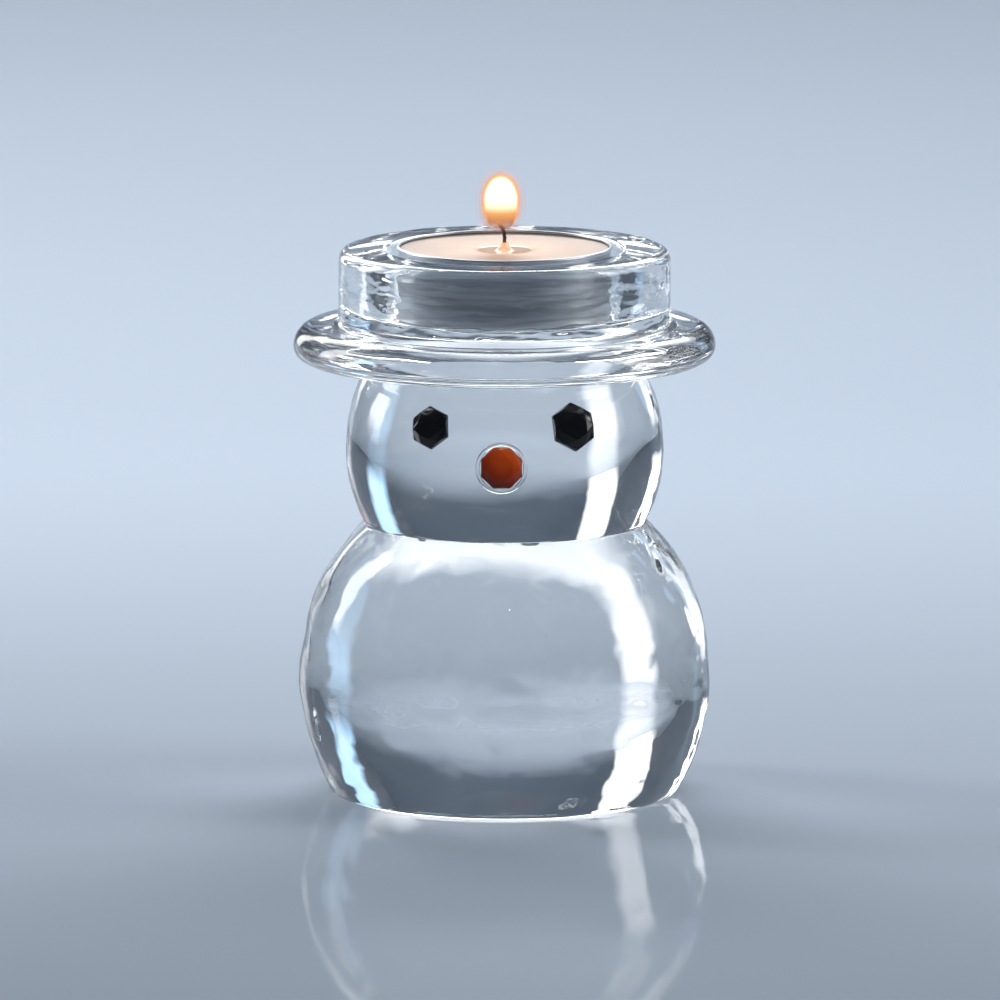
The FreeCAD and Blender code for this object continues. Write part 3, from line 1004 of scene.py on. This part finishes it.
@dataclass
class GlassBody:
    """The lower ball, with its ground foot."""

    belly_height: float = 21.0 * MM
    belly_band: float = 2.12 * MM
    edge_round: float = 1.2 * MM
    ring_width: float = 6.0 * MM
    hollow_depth: float = 0.8 * MM
    ripple: float = 0.85 * MM
    bubbles: tuple[tuple[float, float, float], ...] = (
        (1.2, -25.0, 35.6),
        (-3.7, -25.0, 35.4),
        (7.0, -22.0, 31.0),
        (-2.2, -20.0, 26.5),
    )

    def profile(self) -> Profile:
        """The half-section, from the hollow under the foot up to the neck."""
        low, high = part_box("glass_body")
        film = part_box("neck_bond")[1].x
        belly = high.x
        band_low = self.belly_height - self.belly_band / 2.0
        band_high = self.belly_height + self.belly_band / 2.0
        drop = band_low - self.edge_round
        flat = math.sqrt((belly - self.edge_round) ** 2 - drop**2)
        lean = math.degrees(math.atan2(-drop, flat))
        hollow = flat - self.ring_width
        dish = (hollow**2 + self.hollow_depth**2) / (2.0 * self.hollow_depth)
        half = math.degrees(math.asin(hollow / dish))
        top = math.degrees(math.asin((high.z - band_high) / belly))
        profile = Profile([(0.0, self.hollow_depth)])
        profile.arc((0.0, self.hollow_depth - dish), dish, 90.0, 90.0 - half, 24)
        profile.line(flat, low.z, 4)
        profile.arc((flat, self.edge_round), self.edge_round, -90.0, lean, 8, 0.15)
        profile.arc((0.0, band_low), belly, lean, 0.0, 78, 1.0)
        profile.line(belly, band_high, 5, 1.0)
        profile.arc((0.0, band_high), belly, 0.0, top, 90, 1.0)
        profile.ripples[-1] = 0.0
        profile.line(film, high.z)
        profile.line(0.0, high.z, 1, 0.0, True)
        return profile

    def build(self) -> Piece:
        """Turns the ball and hands it over."""
        piece = Lathe.turn(
            "glass_body_cast",
            self.profile(),
            GLASS.make(),
            ripple=self.ripple,
            across=90.0,
            up=90.0,
            fine=0.08,
            seed=2.0,
            bonded=BONDED.make(),
        )
        SeedBubbles(self.bubbles).sink(piece)
        settle(piece, Body.HOLDER, Slot.GLASS, "glass_body")
        return piece


@dataclass
class GlassHead:
    """The head. Clear adhesive fills the stones' sockets flush, so none shows."""

    base_cut: float = 14.9 * MM
    ripple: float = 0.32 * MM

    def profile(self) -> Profile:
        """The half-section between the two joints."""
        low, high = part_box("glass_head")
        radius = high.x
        centre = low.z + radius - self.base_cut
        start = math.degrees(math.asin((low.z - centre) / radius))
        end = math.degrees(math.asin((high.z - centre) / radius))
        neck = radius * math.cos(math.radians(start))
        profile = Profile([(0.0, low.z)])
        profile.line(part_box("neck_bond")[1].x, low.z, 1, 0.0, True)
        profile.line(neck, low.z)
        profile.arc((0.0, centre), radius, start, end, 130, 1.0)
        profile.ripples[-1] = 0.0
        profile.line(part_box("hat_bond")[1].x, high.z)
        profile.line(0.0, high.z, 1, 0.0, True)
        return profile

    def build(self) -> Piece:
        """Turns the head and hands it over."""
        piece = Lathe.turn(
            "glass_head_cast",
            self.profile(),
            GLASS.make(),
            ripple=self.ripple,
            across=85.0,
            up=100.0,
            fine=0.15,
            seed=7.0,
            bonded=BONDED.make(),
        )
        settle(piece, Body.HOLDER, Slot.GLASS, "glass_head")
        return piece


@dataclass
class GlassHat:
    """The hat: rounded brim, thick crown, and the recess for the tealight."""

    under_round: float = 2.5 * MM
    upper_round: float = 3.7 * MM
    ledge: float = 2.95 * MM
    root_round: float = 1.3 * MM
    edge_round: float = 1.9 * MM
    lip_round: float = 0.9 * MM
    floor_round: float = 1.2 * MM
    recess_clearance: float = 1.6 * MM
    seat_gap: float = 0.1 * MM
    ripple: float = 0.15 * MM

    def profile(self) -> Profile:
        """The half-section, from the joint round the brim and crown into the recess."""
        low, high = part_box("glass_hat")
        cup_low, cup_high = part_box("tealight_cup")
        brim = high.x
        edge = low.z + self.under_round
        brim_top = edge + self.upper_round
        crown = brim - self.upper_round - self.ledge - self.root_round
        recess = cup_high.x + self.recess_clearance
        floor = cup_low.z - self.seat_gap
        lip = high.z - self.lip_round
        profile = Profile([(0.0, low.z)])
        profile.line(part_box("hat_bond")[1].x, low.z, 1, 0.0, True)
        profile.line(brim - self.under_round, low.z, 6, 0.5)
        profile.arc((brim - self.under_round, edge), self.under_round, -90.0, 0.0, 16, 0.5)
        profile.arc((brim - self.upper_round, edge), self.upper_round, 0.0, 90.0, 20, 0.5)
        profile.line(crown + self.root_round, brim_top, 8, 0.6)
        root = (crown + self.root_round, brim_top + self.root_round)
        profile.arc(root, self.root_round, 270.0, 180.0, 10, 0.8)
        profile.line(crown, high.z - self.edge_round, 50, 1.0)
        shoulder = (crown - self.edge_round, high.z - self.edge_round)
        profile.arc(shoulder, self.edge_round, 0.0, 90.0, 14, 0.8)
        profile.line(recess + self.lip_round, high.z, 16, 0.7)
        profile.arc((recess + self.lip_round, lip), self.lip_round, 90.0, 180.0, 10, 0.6)
        profile.line(recess, floor + self.floor_round, 40, 0.9)
        corner = (recess - self.floor_round, floor + self.floor_round)
        profile.arc(corner, self.floor_round, 0.0, -90.0, 10, 0.3)
        profile.line(0.0, floor)
        return profile

    def build(self) -> Piece:
        """Turns the hat and hands it over."""
        piece = Lathe.turn(
            "glass_hat_cast",
            self.profile(),
            HAT_GLASS.make(),
            segments=320,
            ripple=self.ripple,
            across=110.0,
            up=300.0,
            fine=0.3,
            seed=11.0,
            bonded=BONDED.make(),
            sharp_above=40.0,
        )
        settle(piece, Body.HOLDER, Slot.GLASS, "glass_hat")
        return piece


@dataclass(frozen=True)
class StoneCut:
    """How one face stone is cut and set."""

    sides: int
    finish: Finish
    slot: Slot
    rings: tuple[tuple[float, float, float], ...]
    foil: Finish | None = None


BLACK = BlackStone("black_stone_polished")
AMBER_MIDDLE = Seat("nose").matrix() @ Vector((0.0, 0.0, 1.6 * MM))
AMBER = AmberStone("amber_stone_polished", tuple(AMBER_MIDDLE))
FOIL = StoneFoil("amber_stone_foil")
# Each ring: share of the corner radius, share of the stone's height, turn in steps of a side.
EYE_RINGS = ((1.0, 0.0, 0.0), (1.0, 0.43, 0.0), (0.86, 0.72, 0.5), (0.55, 1.0, 0.0))
NOSE_RINGS = ((1.0, 0.0, 0.0), (1.0, 0.43, 0.0), (0.86, 0.74, 0.5), (0.58, 1.0, 0.0))
STONES = {
    "eye_left": StoneCut(6, BLACK, Slot.BLACK, EYE_RINGS),
    "eye_right": StoneCut(6, BLACK, Slot.BLACK, EYE_RINGS),
    "nose": StoneCut(8, AMBER, Slot.AMBER, NOSE_RINGS, FOIL),
}


@dataclass
class Face:
    """The three faceted stones of the face, and the bead of adhesive round the nose."""

    height: float = 2.1 * MM
    worn_edge: float = 0.14 * MM
    bead_radius: float = 4.2 * MM
    bead_tube: float = 0.36 * MM
    bead_height: float = 1.05 * MM

    def stone(self, name: str) -> Piece:
        """Cuts one stone: flat back, girdle, two rows of facets and a table."""
        cut = STONES[name]
        seat = Seat(name)
        reach = seat.corner_radius()
        mesh = bmesh.new()
        rings = []
        for share, rise, twist in cut.rings:
            ring = []
            for step in range(cut.sides):
                angle = 2.0 * math.pi * (step + twist) / cut.sides
                out = reach * share
                spot = (out * math.sin(angle), out * math.cos(angle), self.height * rise)
                ring.append(mesh.verts.new(spot))
            rings.append((ring, twist))
        back = mesh.faces.new(rings[0][0])
        mesh.faces.new(list(reversed(rings[-1][0])))
        for (lower, twist_a), (upper, twist_b) in zip(rings, rings[1:]):
            self._join(mesh, lower, upper, twist_a, twist_b)
        bmesh.ops.recalc_face_normals(mesh, faces=mesh.faces)
        if cut.foil is not None:
            back.material_index = 1
        bmesh.ops.bevel(
            mesh,
            geom=list(mesh.edges),
            offset=self.worn_edge,
            segments=2,
            profile=0.5,
            affect="EDGES",
            clamp_overlap=True,
        )
        mesh.transform(seat.matrix() @ Matrix.Rotation(seat.spin(), 4, "Z"))
        data = bpy.data.meshes.new(name)
        mesh.to_mesh(data)
        mesh.free()
        data.materials.append(cut.finish.make())
        if cut.foil is not None:
            data.materials.append(cut.foil.make())
        return link(f"{name}_stone", data)

    @staticmethod
    def _join(
        mesh: bmesh.types.BMesh, lower: list, upper: list, twist_a: float, twist_b: float
    ) -> None:
        """Joins two rings: by four-sided facets, or by triangles where one is turned."""
        for step, (low, high) in enumerate(zip(lower, upper)):
            following = (step + 1) % len(lower)
            next_low, next_high = lower[following], upper[following]
            if twist_a == twist_b:
                mesh.faces.new((low, next_low, next_high, high))
            elif twist_b > twist_a:
                mesh.faces.new((low, next_low, high))
                mesh.faces.new((high, next_low, next_high))
            else:
                mesh.faces.new((low, next_high, high))
                mesh.faces.new((low, next_low, next_high))

    def bead(self) -> Piece:
        """Turns the bead of clear adhesive that stands round the nose."""
        middle = (self.bead_radius, self.bead_height)
        start = (self.bead_radius + self.bead_tube, self.bead_height)
        profile = Profile([start]).arc(middle, self.bead_tube, 0.0, 360.0, 16)
        piece = Lathe.turn("nose_bead", profile, GLASS.make(), segments=128, sharp_above=180.0)
        piece.data.transform(Seat("nose").matrix())
        return piece

    def build(self) -> None:
        """Cuts and sets the stones, and lays the bead."""
        for name, cut in STONES.items():
            settle(self.stone(name), Body.HOLDER, cut.slot, name)
        settle(self.bead(), Body.HOLDER, Slot.ADHESIVE)


# --------------------------------------------------------------------------------------
# The tealight
# --------------------------------------------------------------------------------------


@dataclass
class Cup:
    """The drawn aluminium cup."""

    wall: float = 0.2 * MM
    bead: float = 0.3 * MM
    base_round: float = 0.8 * MM

    def profile(self) -> Profile:
        """The half-section, from under the base round the rolled rim to the floor."""
        low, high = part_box("tealight_cup")
        side = high.x - self.bead
        bore = side - self.wall
        bead = high.z - self.bead
        within = math.degrees(math.asin(math.sqrt(self.bead**2 - self.wall**2) / self.bead))
        corner = (side - self.base_round, low.z + self.base_round)
        profile = Profile([(0.0, low.z)])
        profile.line(corner[0], low.z, 6)
        profile.arc(corner, self.base_round, -90.0, 0.0, 8, 0.5)
        profile.line(side, bead - self.bead, 24, 1.0)
        profile.arc((side, bead), self.bead, -90.0, 180.0 + within, 20, 0.3)
        profile.line(bore, corner[1], 24, 1.0)
        profile.arc(corner, self.base_round - self.wall, 0.0, -90.0, 6, 0.5)
        profile.line(0.0, low.z + self.wall)
        return profile

    def build(self) -> None:
        """Turns the cup and hands it over."""
        finish = DrawnAluminium("cup_drawn_aluminium")
        piece = Lathe.turn(
            "tealight_cup_drawn",
            self.profile(),
            finish.make(),
            segments=256,
            ripple=0.03 * MM,
            across=90.0,
            up=110.0,
            seed=5.0,
            sharp_above=50.0,
        )
        settle(piece, Body.TEALIGHT, Slot.CUP, "tealight_cup")


@dataclass
class Candle:
    """The wax puck, its wick and the flame."""

    base_round: float = 0.6 * MM
    rim_width: float = 0.9 * MM
    rim_drop: float = 0.15 * MM
    pool_radius: float = 4.6 * MM
    pool_bank: float = 0.9 * MM
    pool_depth: float = 0.3 * MM
    climb_spread: float = 1.5 * MM
    climb_power: float = 2.2
    wick_hole: float = 0.4 * MM
    collar: float = 0.2 * MM
    below_rim: float = 0.6 * MM
    plate_gap: float = 0.05 * MM
    plate_sheet: float = 0.25 * MM
    tube_radius: float = 1.15 * MM

    def wax_top(self) -> float:
        """The height of the wax's surface."""
        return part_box("tealight_cup")[1].z - self.below_rim

    def wax_profile(self) -> Profile:
        """The half-section, from the plate's edge up, over the pool and down the wick hole."""
        low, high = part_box("wax")
        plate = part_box("wick_sustainer")[1]
        top = self.wax_top()
        side = high.x
        plate_edge = plate.x + self.plate_gap
        plate_top = low.z + self.plate_sheet + self.plate_gap
        tube = self.tube_radius + self.plate_gap
        tube_top = plate.z + self.plate_gap
        pool = top - self.pool_depth
        corner = (side - self.base_round, low.z + self.base_round)
        profile = Profile([(plate_edge, low.z)])
        profile.line(corner[0], low.z, 4)
        profile.arc(corner, self.base_round, -90.0, 0.0, 6)
        profile.line(side, top, 12)
        flat = top - self.rim_drop
        for step in range(1, 7):
            share = step / 6
            rise = self.rim_drop * (1.0 - share) ** 2
            profile.line(side - self.rim_width * share, flat + rise, 1, 0.4)
        profile.line(self.pool_radius + self.pool_bank, flat, 24, 1.0)
        for step in range(1, 9):
            share = step / 8
            ease = share * share * (3.0 - 2.0 * share)
            out = self.pool_radius + self.pool_bank * (1.0 - share)
            profile.line(out, flat + (pool - flat) * ease, 1, 0.5)
        foot = self.wick_hole + self.collar + self.climb_spread
        profile.line(foot, pool, 6, 0.2)
        for step in range(1, 13):
            share = step / 12
            climb = (high.z - pool) * share**self.climb_power
            profile.line(foot - self.climb_spread * share, pool + climb)
        for spot in (
            (self.wick_hole, high.z),
            (self.wick_hole, tube_top),
            (tube, tube_top),
            (tube, plate_top),
            (plate_edge, plate_top),
            (plate_edge, low.z),
        ):
            profile.line(*spot)
        return profile

    def build_wax(self) -> None:
        """Turns the puck and hands it over."""
        finish = CandleWax("candle_wax", self.wax_top())
        piece = Lathe.turn(
            "wax_puck",
            self.wax_profile(),
            finish.make(),
            segments=224,
            ripple=0.08 * MM,
            across=150.0,
            up=150.0,
            seed=3.0,
            sharp_above=45.0,
        )
        settle(piece, Body.CANDLE, Slot.WAX, "wax")

    def build(self) -> None:
        """Builds the puck, the wick and the flame."""
        self.build_wax()
        Wick().build(self.wax_top())
        Flame().build()
        refinish(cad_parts["wick_sustainer"], TinnedSteel("sustainer_tinned"))


@dataclass
class Wick:
    """The braided wick: strands wound round a bent path."""

    strands: int = 3
    strand_radius: float = 0.18 * MM
    wound_radius: float = 0.17 * MM
    turns: float = 6.0
    bend_radius: float = 3.0 * MM
    lean: float = 38.0
    tip_run: float = 1.1 * MM
    tip_kept: float = 0.8
    end_radius: float = 0.7 * MM

    def path(self) -> list[Vector]:
        """The middle line, up the axis and over towards -X."""
        low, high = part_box("wick")
        lean = math.radians(self.lean)
        tip_height = self.bend_radius * math.sin(lean) + self.tip_run * math.cos(lean)
        start = high.z - self.end_radius * math.sin(lean) - tip_height
        points = [Vector((0.0, 0.0, low.z + (start - low.z) * step / 12)) for step in range(12)]
        for step in range(9):
            angle = lean * step / 8
            aside = -self.bend_radius * (1.0 - math.cos(angle))
            points.append(Vector((aside, 0.0, start + self.bend_radius * math.sin(angle))))
        last = points[-1]
        for share in (0.5, 1.0):
            run = self.tip_run * self.tip_kept * share
            points.append(last + Vector((-math.sin(lean) * run, 0.0, math.cos(lean) * run)))
        return points

    @staticmethod
    def tree() -> Tree:
        """A tree that winds strands round a curve."""
        inputs = {
            "Strands": "Int",
            "Strand Radius": "Float",
            "Wound Radius": "Float",
            "Turns": "Float",
            "Cotton": "Material",
        }
        graph, given = start_tree("braided_wick", inputs)
        sockets = {"Curve": given["Geometry"], "Count": 140}
        fine = graph.add("GeometryNodeResampleCurve", None, sockets)
        several = graph.add(
            "GeometryNodeDuplicateElements",
            {"domain": "SPLINE"},
            {"Geometry": fine, "Amount": given["Strands"]},
        )
        share = graph.value("GeometryNodeSplineParameter", output="Factor")
        strand = Value(graph, several.outputs["Duplicate Index"]) / given["Strands"]
        angle = (share * given["Turns"] + strand) * (2.0 * math.pi)
        tangent = graph.add("GeometryNodeInputTangent")
        level = graph.vector("CROSS_PRODUCT", tangent, (0.0, 1.0, 0.0))
        wound = given["Wound Radius"]
        one = graph.vector("SCALE", level, angle.math("COSINE") * wound)
        two = graph.add("ShaderNodeCombineXYZ", None, {1: angle.math("SINE") * wound})
        sockets = {"Geometry": several, "Offset": graph.vector("ADD", one, two)}
        moved = graph.add("GeometryNodeSetPosition", None, sockets)
        sockets = {"Resolution": 10, "Radius": given["Strand Radius"]}
        ring = graph.add("GeometryNodeCurvePrimitiveCircle", None, sockets)
        sockets = {"Curve": moved, "Profile Curve": ring, "Fill Caps": True}
        mesh = graph.add("GeometryNodeCurveToMesh", None, sockets)
        real = graph.add("GeometryNodeRealizeInstances", None, {"Geometry": mesh})
        sockets = {"Geometry": real, "Material": given["Cotton"]}
        final = graph.add("GeometryNodeSetMaterial", None, sockets)
        graph.add("NodeGroupOutput", None, {"Geometry": final})
        return graph.tree

    def build(self, wax_top: float) -> None:
        """Winds the wick and hands it over."""
        curve = bpy.data.curves.new("wick_path", "CURVE")
        curve.dimensions = "3D"
        points = self.path()
        spline = curve.splines.new("POLY")
        spline.points.add(len(points) - 1)
        for spot, point in zip(spline.points, points):
            spot.co = (*point, 1.0)
        path = link("wick_path", curve)
        finish = CharredCotton("wick_charred_cotton", wax_top, points[-1].z)
        values = {
            "Strands": self.strands,
            "Strand Radius": self.strand_radius,
            "Wound Radius": self.wound_radius,
            "Turns": self.turns,
            "Cotton": finish.make(),
        }
        braid = grow(path, self.tree(), values)
        bpy.data.objects.remove(path)
        settle(link("wick_braid", braid), Body.CANDLE, Slot.WICK, "wick")


@dataclass(frozen=True)
class FlameLayer:
    """One layer of the flame: how far it reaches and how it glows from root to tip."""

    name: str
    spread: float
    strength: float
    colours: tuple[tuple[float, Colour], ...]
    cover: tuple[tuple[float, float], ...]


@dataclass
class Flame:
    """The flame: luminous shells, one inside another."""

    tip_above_wick: float = 7.3 * MM
    widest_below_tip: float = 4.3 * MM
    root_below_widest: float = 5.2 * MM
    half_width: float = 2.8 * MM
    taper_below: float = 0.66
    taper_above: float = 0.92
    steps: int = 24
    aside: float = -0.65 * MM
    layers: tuple[FlameLayer, ...] = (
        FlameLayer(
            "core",
            0.0,
            4.5,
            (
                (0.05, (0.03, 0.012, 0.008)),
                (0.22, (0.08, 0.03, 0.01)),
                (0.36, (0.17, 0.085, 0.022)),
                (0.62, (1.0, 0.95, 0.8)),
            ),
            ((0.02, 0.0), (0.16, 0.55), (0.34, 1.0)),
        ),
        FlameLayer(
            "mantle",
            0.28 * MM,
            1.5,
            ((0.05, (0.3, 0.12, 0.06)), (0.3, (0.8, 0.38, 0.08)), (0.6, (1.0, 0.8, 0.3))),
            ((0.02, 0.0), (0.3, 0.32), (0.6, 0.55)),
        ),
        FlameLayer(
            "edge",
            0.62 * MM,
            1.1,
            ((0.05, (0.5, 0.2, 0.12)), (0.4, (1.0, 0.36, 0.06)), (1.0, (1.0, 0.42, 0.08))),
            ((0.02, 0.0), (0.35, 0.25), (1.0, 0.4)),
        ),
        FlameLayer(
            "glow_inner",
            1.05 * MM,
            1.0,
            ((0.0, (0.8, 0.3, 0.25)), (1.0, (1.0, 0.45, 0.3))),
            ((0.05, 0.0), (0.45, 0.16), (1.0, 0.16)),
        ),
        FlameLayer(
            "glow_outer",
            1.7 * MM,
            1.0,
            ((0.0, (0.8, 0.4, 0.4)), (1.0, (1.0, 0.55, 0.45))),
            ((0.05, 0.0), (0.5, 0.08), (1.0, 0.08)),
        ),
    )

    def outline(self, spread: float) -> Profile:
        """The half-section of one shell: blunt above, tapering below.

        Args:
            spread: how far it lies outside the innermost shell.

        Returns:
            The profile, from root to tip.
        """
        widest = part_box("wick")[1].z + self.tip_above_wick - self.widest_below_tip
        reach = self.half_width + spread
        below = self.root_below_widest + spread
        above = self.widest_below_tip + spread
        profile = Profile([(0.0, widest - below)])
        for step in range(1 - self.steps, self.steps):
            angle = math.radians(90.0 * step / self.steps)
            depth, taper = (below, self.taper_below) if step < 0 else (above, self.taper_above)
            profile.line(reach * math.cos(angle) ** taper, widest + depth * math.sin(angle))
        return profile.line(0.0, widest + above)

    def build(self) -> None:
        """Builds the shells and hands them over."""
        for layer in self.layers:
            name = f"flame_{layer.name}"
            outline = self.outline(layer.spread)
            ends = (outline.points[0][1], outline.points[-1][1])
            finish = FlameShell(name, *ends, layer.colours, layer.cover, layer.strength)
            piece = Lathe.turn(name, outline, finish.make(), segments=64, sharp_above=180.0)
            piece.data.transform(Matrix.Translation((self.aside, 0.0, 0.0)))
            settle(piece, Body.CANDLE, Slot.WICK)


# --------------------------------------------------------------------------------------
# The studio
# --------------------------------------------------------------------------------------


@dataclass(frozen=True)
class Lamp:
    """One soft lamp, in metres and watts, brightest in its middle."""

    name: str
    place: tuple[float, float, float]
    size: tuple[float, float]
    power: float
    colour: Colour = (1.0, 1.0, 1.0)
    edge_softness: float = 2.2
    edge_gain: float = 1.67

    def hang(self, target: Vector) -> None:
        """Hangs the lamp, turned towards the target and hidden from the camera."""
        data = bpy.data.lights.new(self.name, "AREA")
        data.shape = "RECTANGLE"
        data.size, data.size_y = self.size
        data.energy = self.power
        data.color = self.colour
        data.use_nodes = True
        graph = Graph(data.node_tree)
        strength = self.edge_gain
        for share in graph.split(graph.add("ShaderNodeNewGeometry").outputs["Parametric"])[:2]:
            away = (share - 0.5).math("ABSOLUTE") * 2.0
            strength = (1.0 - away).math("MULTIPLY", self.edge_softness, clamp=True) * strength
        glow = graph.add("ShaderNodeEmission", None, {"Strength": strength})
        graph.add("ShaderNodeOutputLight", None, {0: glow})
        lamp = link(self.name, data)
        lamp.visible_camera = False
        lamp.location = self.place
        lamp.rotation_euler = (target - lamp.location).to_track_quat("-Z", "Y").to_euler()


@dataclass
class Studio:
    """Pale board sweep, soft lamps and the camera."""

    distance: float = 3.0
    elevation: float = 9.35
    azimuth: float = 1.15
    view_height: float = 48.5 * MM
    view_width: float = 176.5 * MM
    sensor: float = 36.0
    shift: tuple[float, float] = (-0.0045, 0.0192)
    sweep_depth: float = 0.35
    sweep_height: float = 1.2
    sweep_round: float = 0.65
    sweep_width: float = 1.0
    floor_front: float = -3.2
    aim_height: float = 50.0 * MM
    room_colour: Colour = (0.4, 0.5, 0.65)
    room_strength: float = 0.2
    glass_bounces: int = 24
    mirror_bounces: int = 12
    clear_bounces: int = 32
    lamps: tuple[Lamp, ...] = (
        Lamp("softbox_right", (0.56, -0.05, 0.32), (0.38, 0.56), 1.3, (1.0, 0.99, 0.97)),
        Lamp("panel_back_left", (-0.31, 0.56, 0.24), (0.15, 0.46), 0.42),
        Lamp("strip_back_right", (0.42, 0.5, 0.24), (0.16, 0.46), 0.2, (0.45, 0.72, 1.0)),
        Lamp("panel_left", (-0.54, 0.2, 0.28), (0.2, 0.5), 1.35, (0.97, 0.98, 1.0)),
        Lamp("softbox_back", (0.0, 0.5, 0.45), (0.8, 0.32), 3.4),
        Lamp("softbox_top", (0.0, 0.0, 1.0), (0.7, 0.7), 0.3),
    )

    def camera(self) -> None:
        """Sets the camera."""
        up = math.radians(self.elevation)
        turn = math.radians(self.azimuth)
        target = Vector((0.0, 0.0, self.view_height))
        level = math.cos(up)
        away = Vector((level * math.sin(turn), -level * math.cos(turn), math.sin(up)))
        data = bpy.data.cameras.new("studio_camera")
        data.sensor_width = self.sensor
        data.lens = self.sensor * self.distance / self.view_width
        data.shift_x, data.shift_y = self.shift
        camera = link("studio_camera", data)
        camera.location = target + away * self.distance
        camera.rotation_euler = (-away).to_track_quat("-Z", "Y").to_euler()
        bpy.context.scene.camera = camera

    def sweep(self) -> None:
        """Lays the board: floor, curve and backdrop in one sheet."""
        centre = (self.sweep_depth, self.sweep_round)
        curve = Profile([(self.floor_front, 0.0)]).line(self.sweep_depth, 0.0)
        curve.arc(centre, self.sweep_round, -90.0, 0.0, 16)
        curve.line(self.sweep_depth + self.sweep_round, self.sweep_height)
        outline = curve.points
        half = self.sweep_width / 2.0
        points = [(side, y, z) for y, z in outline for side in (-half, half)]
        faces = [(2 * i, 2 * i + 1, 2 * i + 3, 2 * i + 2) for i in range(len(outline) - 1)]
        mesh = bpy.data.meshes.new("studio_paper")
        mesh.from_pydata(points, [], faces)
        mesh.shade_smooth()
        mesh.materials.append(StudioPaper("studio_paper").make())
        link("studio_paper", mesh)

    def light(self) -> None:
        """Hangs the lamps and sets the dim room."""
        for lamp in self.lamps:
            lamp.hang(Vector((0.0, 0.0, self.aim_height)))
        world = bpy.data.worlds.new("studio_room")
        world.use_nodes = True
        graph = Graph(world.node_tree)
        dim = {"Color": (*self.room_colour, 1.0), "Strength": self.room_strength}
        room = graph.add("ShaderNodeBackground", None, dim)
        graph.add("ShaderNodeOutputWorld", None, {"Surface": room})
        bpy.context.scene.world = world

    def build(self) -> None:
        """Builds the studio and sets how light is followed through the glass."""
        self.camera()
        self.sweep()
        self.light()
        scene = bpy.context.scene
        scene.view_settings.view_transform = "Standard"
        scene.cycles.max_bounces = self.glass_bounces
        scene.cycles.transmission_bounces = self.glass_bounces
        scene.cycles.glossy_bounces = self.mirror_bounces
        scene.cycles.transparent_max_bounces = self.clear_bounces
        scene.cycles.use_denoising = True


def dress_films() -> None:
    """Gives the adhesive films their clear material."""
    for name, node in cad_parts.items():
        if name.endswith("_bond"):
            refinish(node, BondedFace("adhesive_film_clear"))


def main() -> None:
    """Builds every piece in order, then the studio."""
    logging.basicConfig(level=logging.INFO, format="%(message)s")
    GlassBody().build()
    GlassHead().build()
    GlassHat().build()
    Face().build()
    Cup().build()
    Candle().build()
    dress_films()
    Studio().build()


if __name__ == "__main__":
    main()
